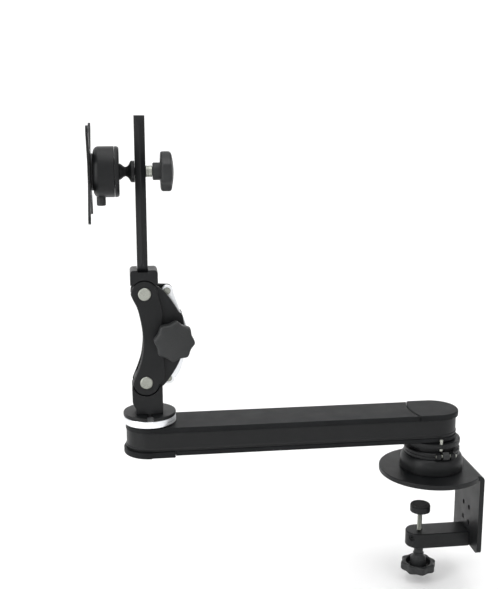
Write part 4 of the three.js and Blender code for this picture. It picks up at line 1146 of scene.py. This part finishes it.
# ---------------------------------------------------------------- studio
@dataclass
class Studio:
    """The pale floor, the soft lights and the camera."""

    focal: float = 58.07
    yaw: float = 7.80
    pitch: float = 11.86
    eye: tuple[float, float, float] = (-401.8, -1152.4, 492.5)

    def build(self) -> None:
        """Build the stage, the lights and the camera."""
        self.floor()
        self.lights()
        self.camera()

    def floor(self) -> None:
        """Sweep a pale floor up into a backdrop."""
        low = CAD_BOX[0].z / MM - 12
        path = [(-2600, low), (1300, low), *arc((1300, low + 500), 500, -90, 0, 12), (1800, 3600)]
        strip = path + [(x + 1.0, z - 1.0) for x, z in path[::-1]]
        sweep = loft("floor_sweep", [(strip, -3200), (strip, 2600)], OUT)
        material = bpy.data.materials.new("studio_paper")
        material.use_nodes = True
        shader = material.node_tree.nodes["Principled BSDF"]
        shader.inputs["Base Color"].default_value = linear("#f6f6f6")
        shader.inputs["Roughness"].default_value = 0.9
        sweep.data.materials.append(material)

    def lights(self) -> None:
        """Hang a big overhead softbox, a side strip and a front fill."""
        world = bpy.data.worlds.new("studio")
        bpy.context.scene.world = world
        world.use_nodes = True
        tree = world.node_tree
        spot = add_node(tree, "ShaderNodeTexCoord").outputs["Generated"]
        across = add_node(tree, "ShaderNodeSeparateXYZ", {"Vector": spot})
        fade = add_node(tree, "ShaderNodeMapRange", {
            "Value": across.outputs["X"], "From Min": 0.35, "From Max": 0.9, "To Min": 1.0, "To Max": 0.6})
        tree.links.new(fade.outputs["Result"], tree.nodes["Background"].inputs["Color"])
        tree.nodes["Background"].inputs["Strength"].default_value = 1.0
        bpy.context.scene.view_settings.view_transform = "Standard"
        target = Vector((-0.2, 0.0, 0.15))
        for name, place, size, power in (("overhead", (-0.3, -0.2, 1.9), (1.8, 1.4), 16.0),
                                         ("left_strip", (-1.7, -0.9, 0.7), (0.5, 1.6), 14.0),
                                         ("right_fill", (1.3, -1.5, 0.9), (1.0, 1.2), 4.0)):
            light = bpy.data.lights.new(name, "AREA")
            light.shape, light.size, light.size_y, light.energy = "RECTANGLE", size[0], size[1], power
            lamp = bpy.data.objects.new(name, light)
            lamp.location = place
            lamp.rotation_euler = (target - Vector(place)).to_track_quat("-Z", "Y").to_euler()
            bpy.context.scene.collection.objects.link(lamp)

    def camera(self) -> None:
        """Set the camera at eye height on the arm's near side."""
        camera = bpy.data.cameras.new("camera")
        camera.lens = self.focal
        camera.sensor_width = 36.0
        holder = bpy.data.objects.new("camera", camera)
        yaw, pitch = math.radians(self.yaw), math.radians(self.pitch)
        look = Vector((math.sin(yaw) * math.cos(pitch), math.cos(yaw) * math.cos(pitch), -math.sin(pitch)))
        holder.location = Vector(self.eye) * MM
        holder.rotation_euler = look.to_track_quat("-Z", "Y").to_euler()
        bpy.context.scene.collection.objects.link(holder)
        bpy.context.scene.camera = holder


def dress_kept_nodes() -> None:
    """Give every frame node that still shows its own finish."""
    for name, node in frame["nodes"].items():
        if not node.hide_render and node.material_slots:
            node.material_slots[0].material = SLOT_FINISH[NODE_SLOT[name]].material()


def write_sizes() -> None:
    """Bring the view layer up to date."""
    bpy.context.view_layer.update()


def main() -> None:
    """Build every sub-assembly in order."""
    logging.basicConfig(level=logging.INFO, format="%(message)s")
    for part in (Clamp(), BaseSwivel(), SwingArm(), Yoke(), MastAndBall(), Studio()):
        log.info("building %s", type(part).__name__)
        part.build()
    dress_kept_nodes()
    write_sizes()


if __name__ == "__main__":
    main()
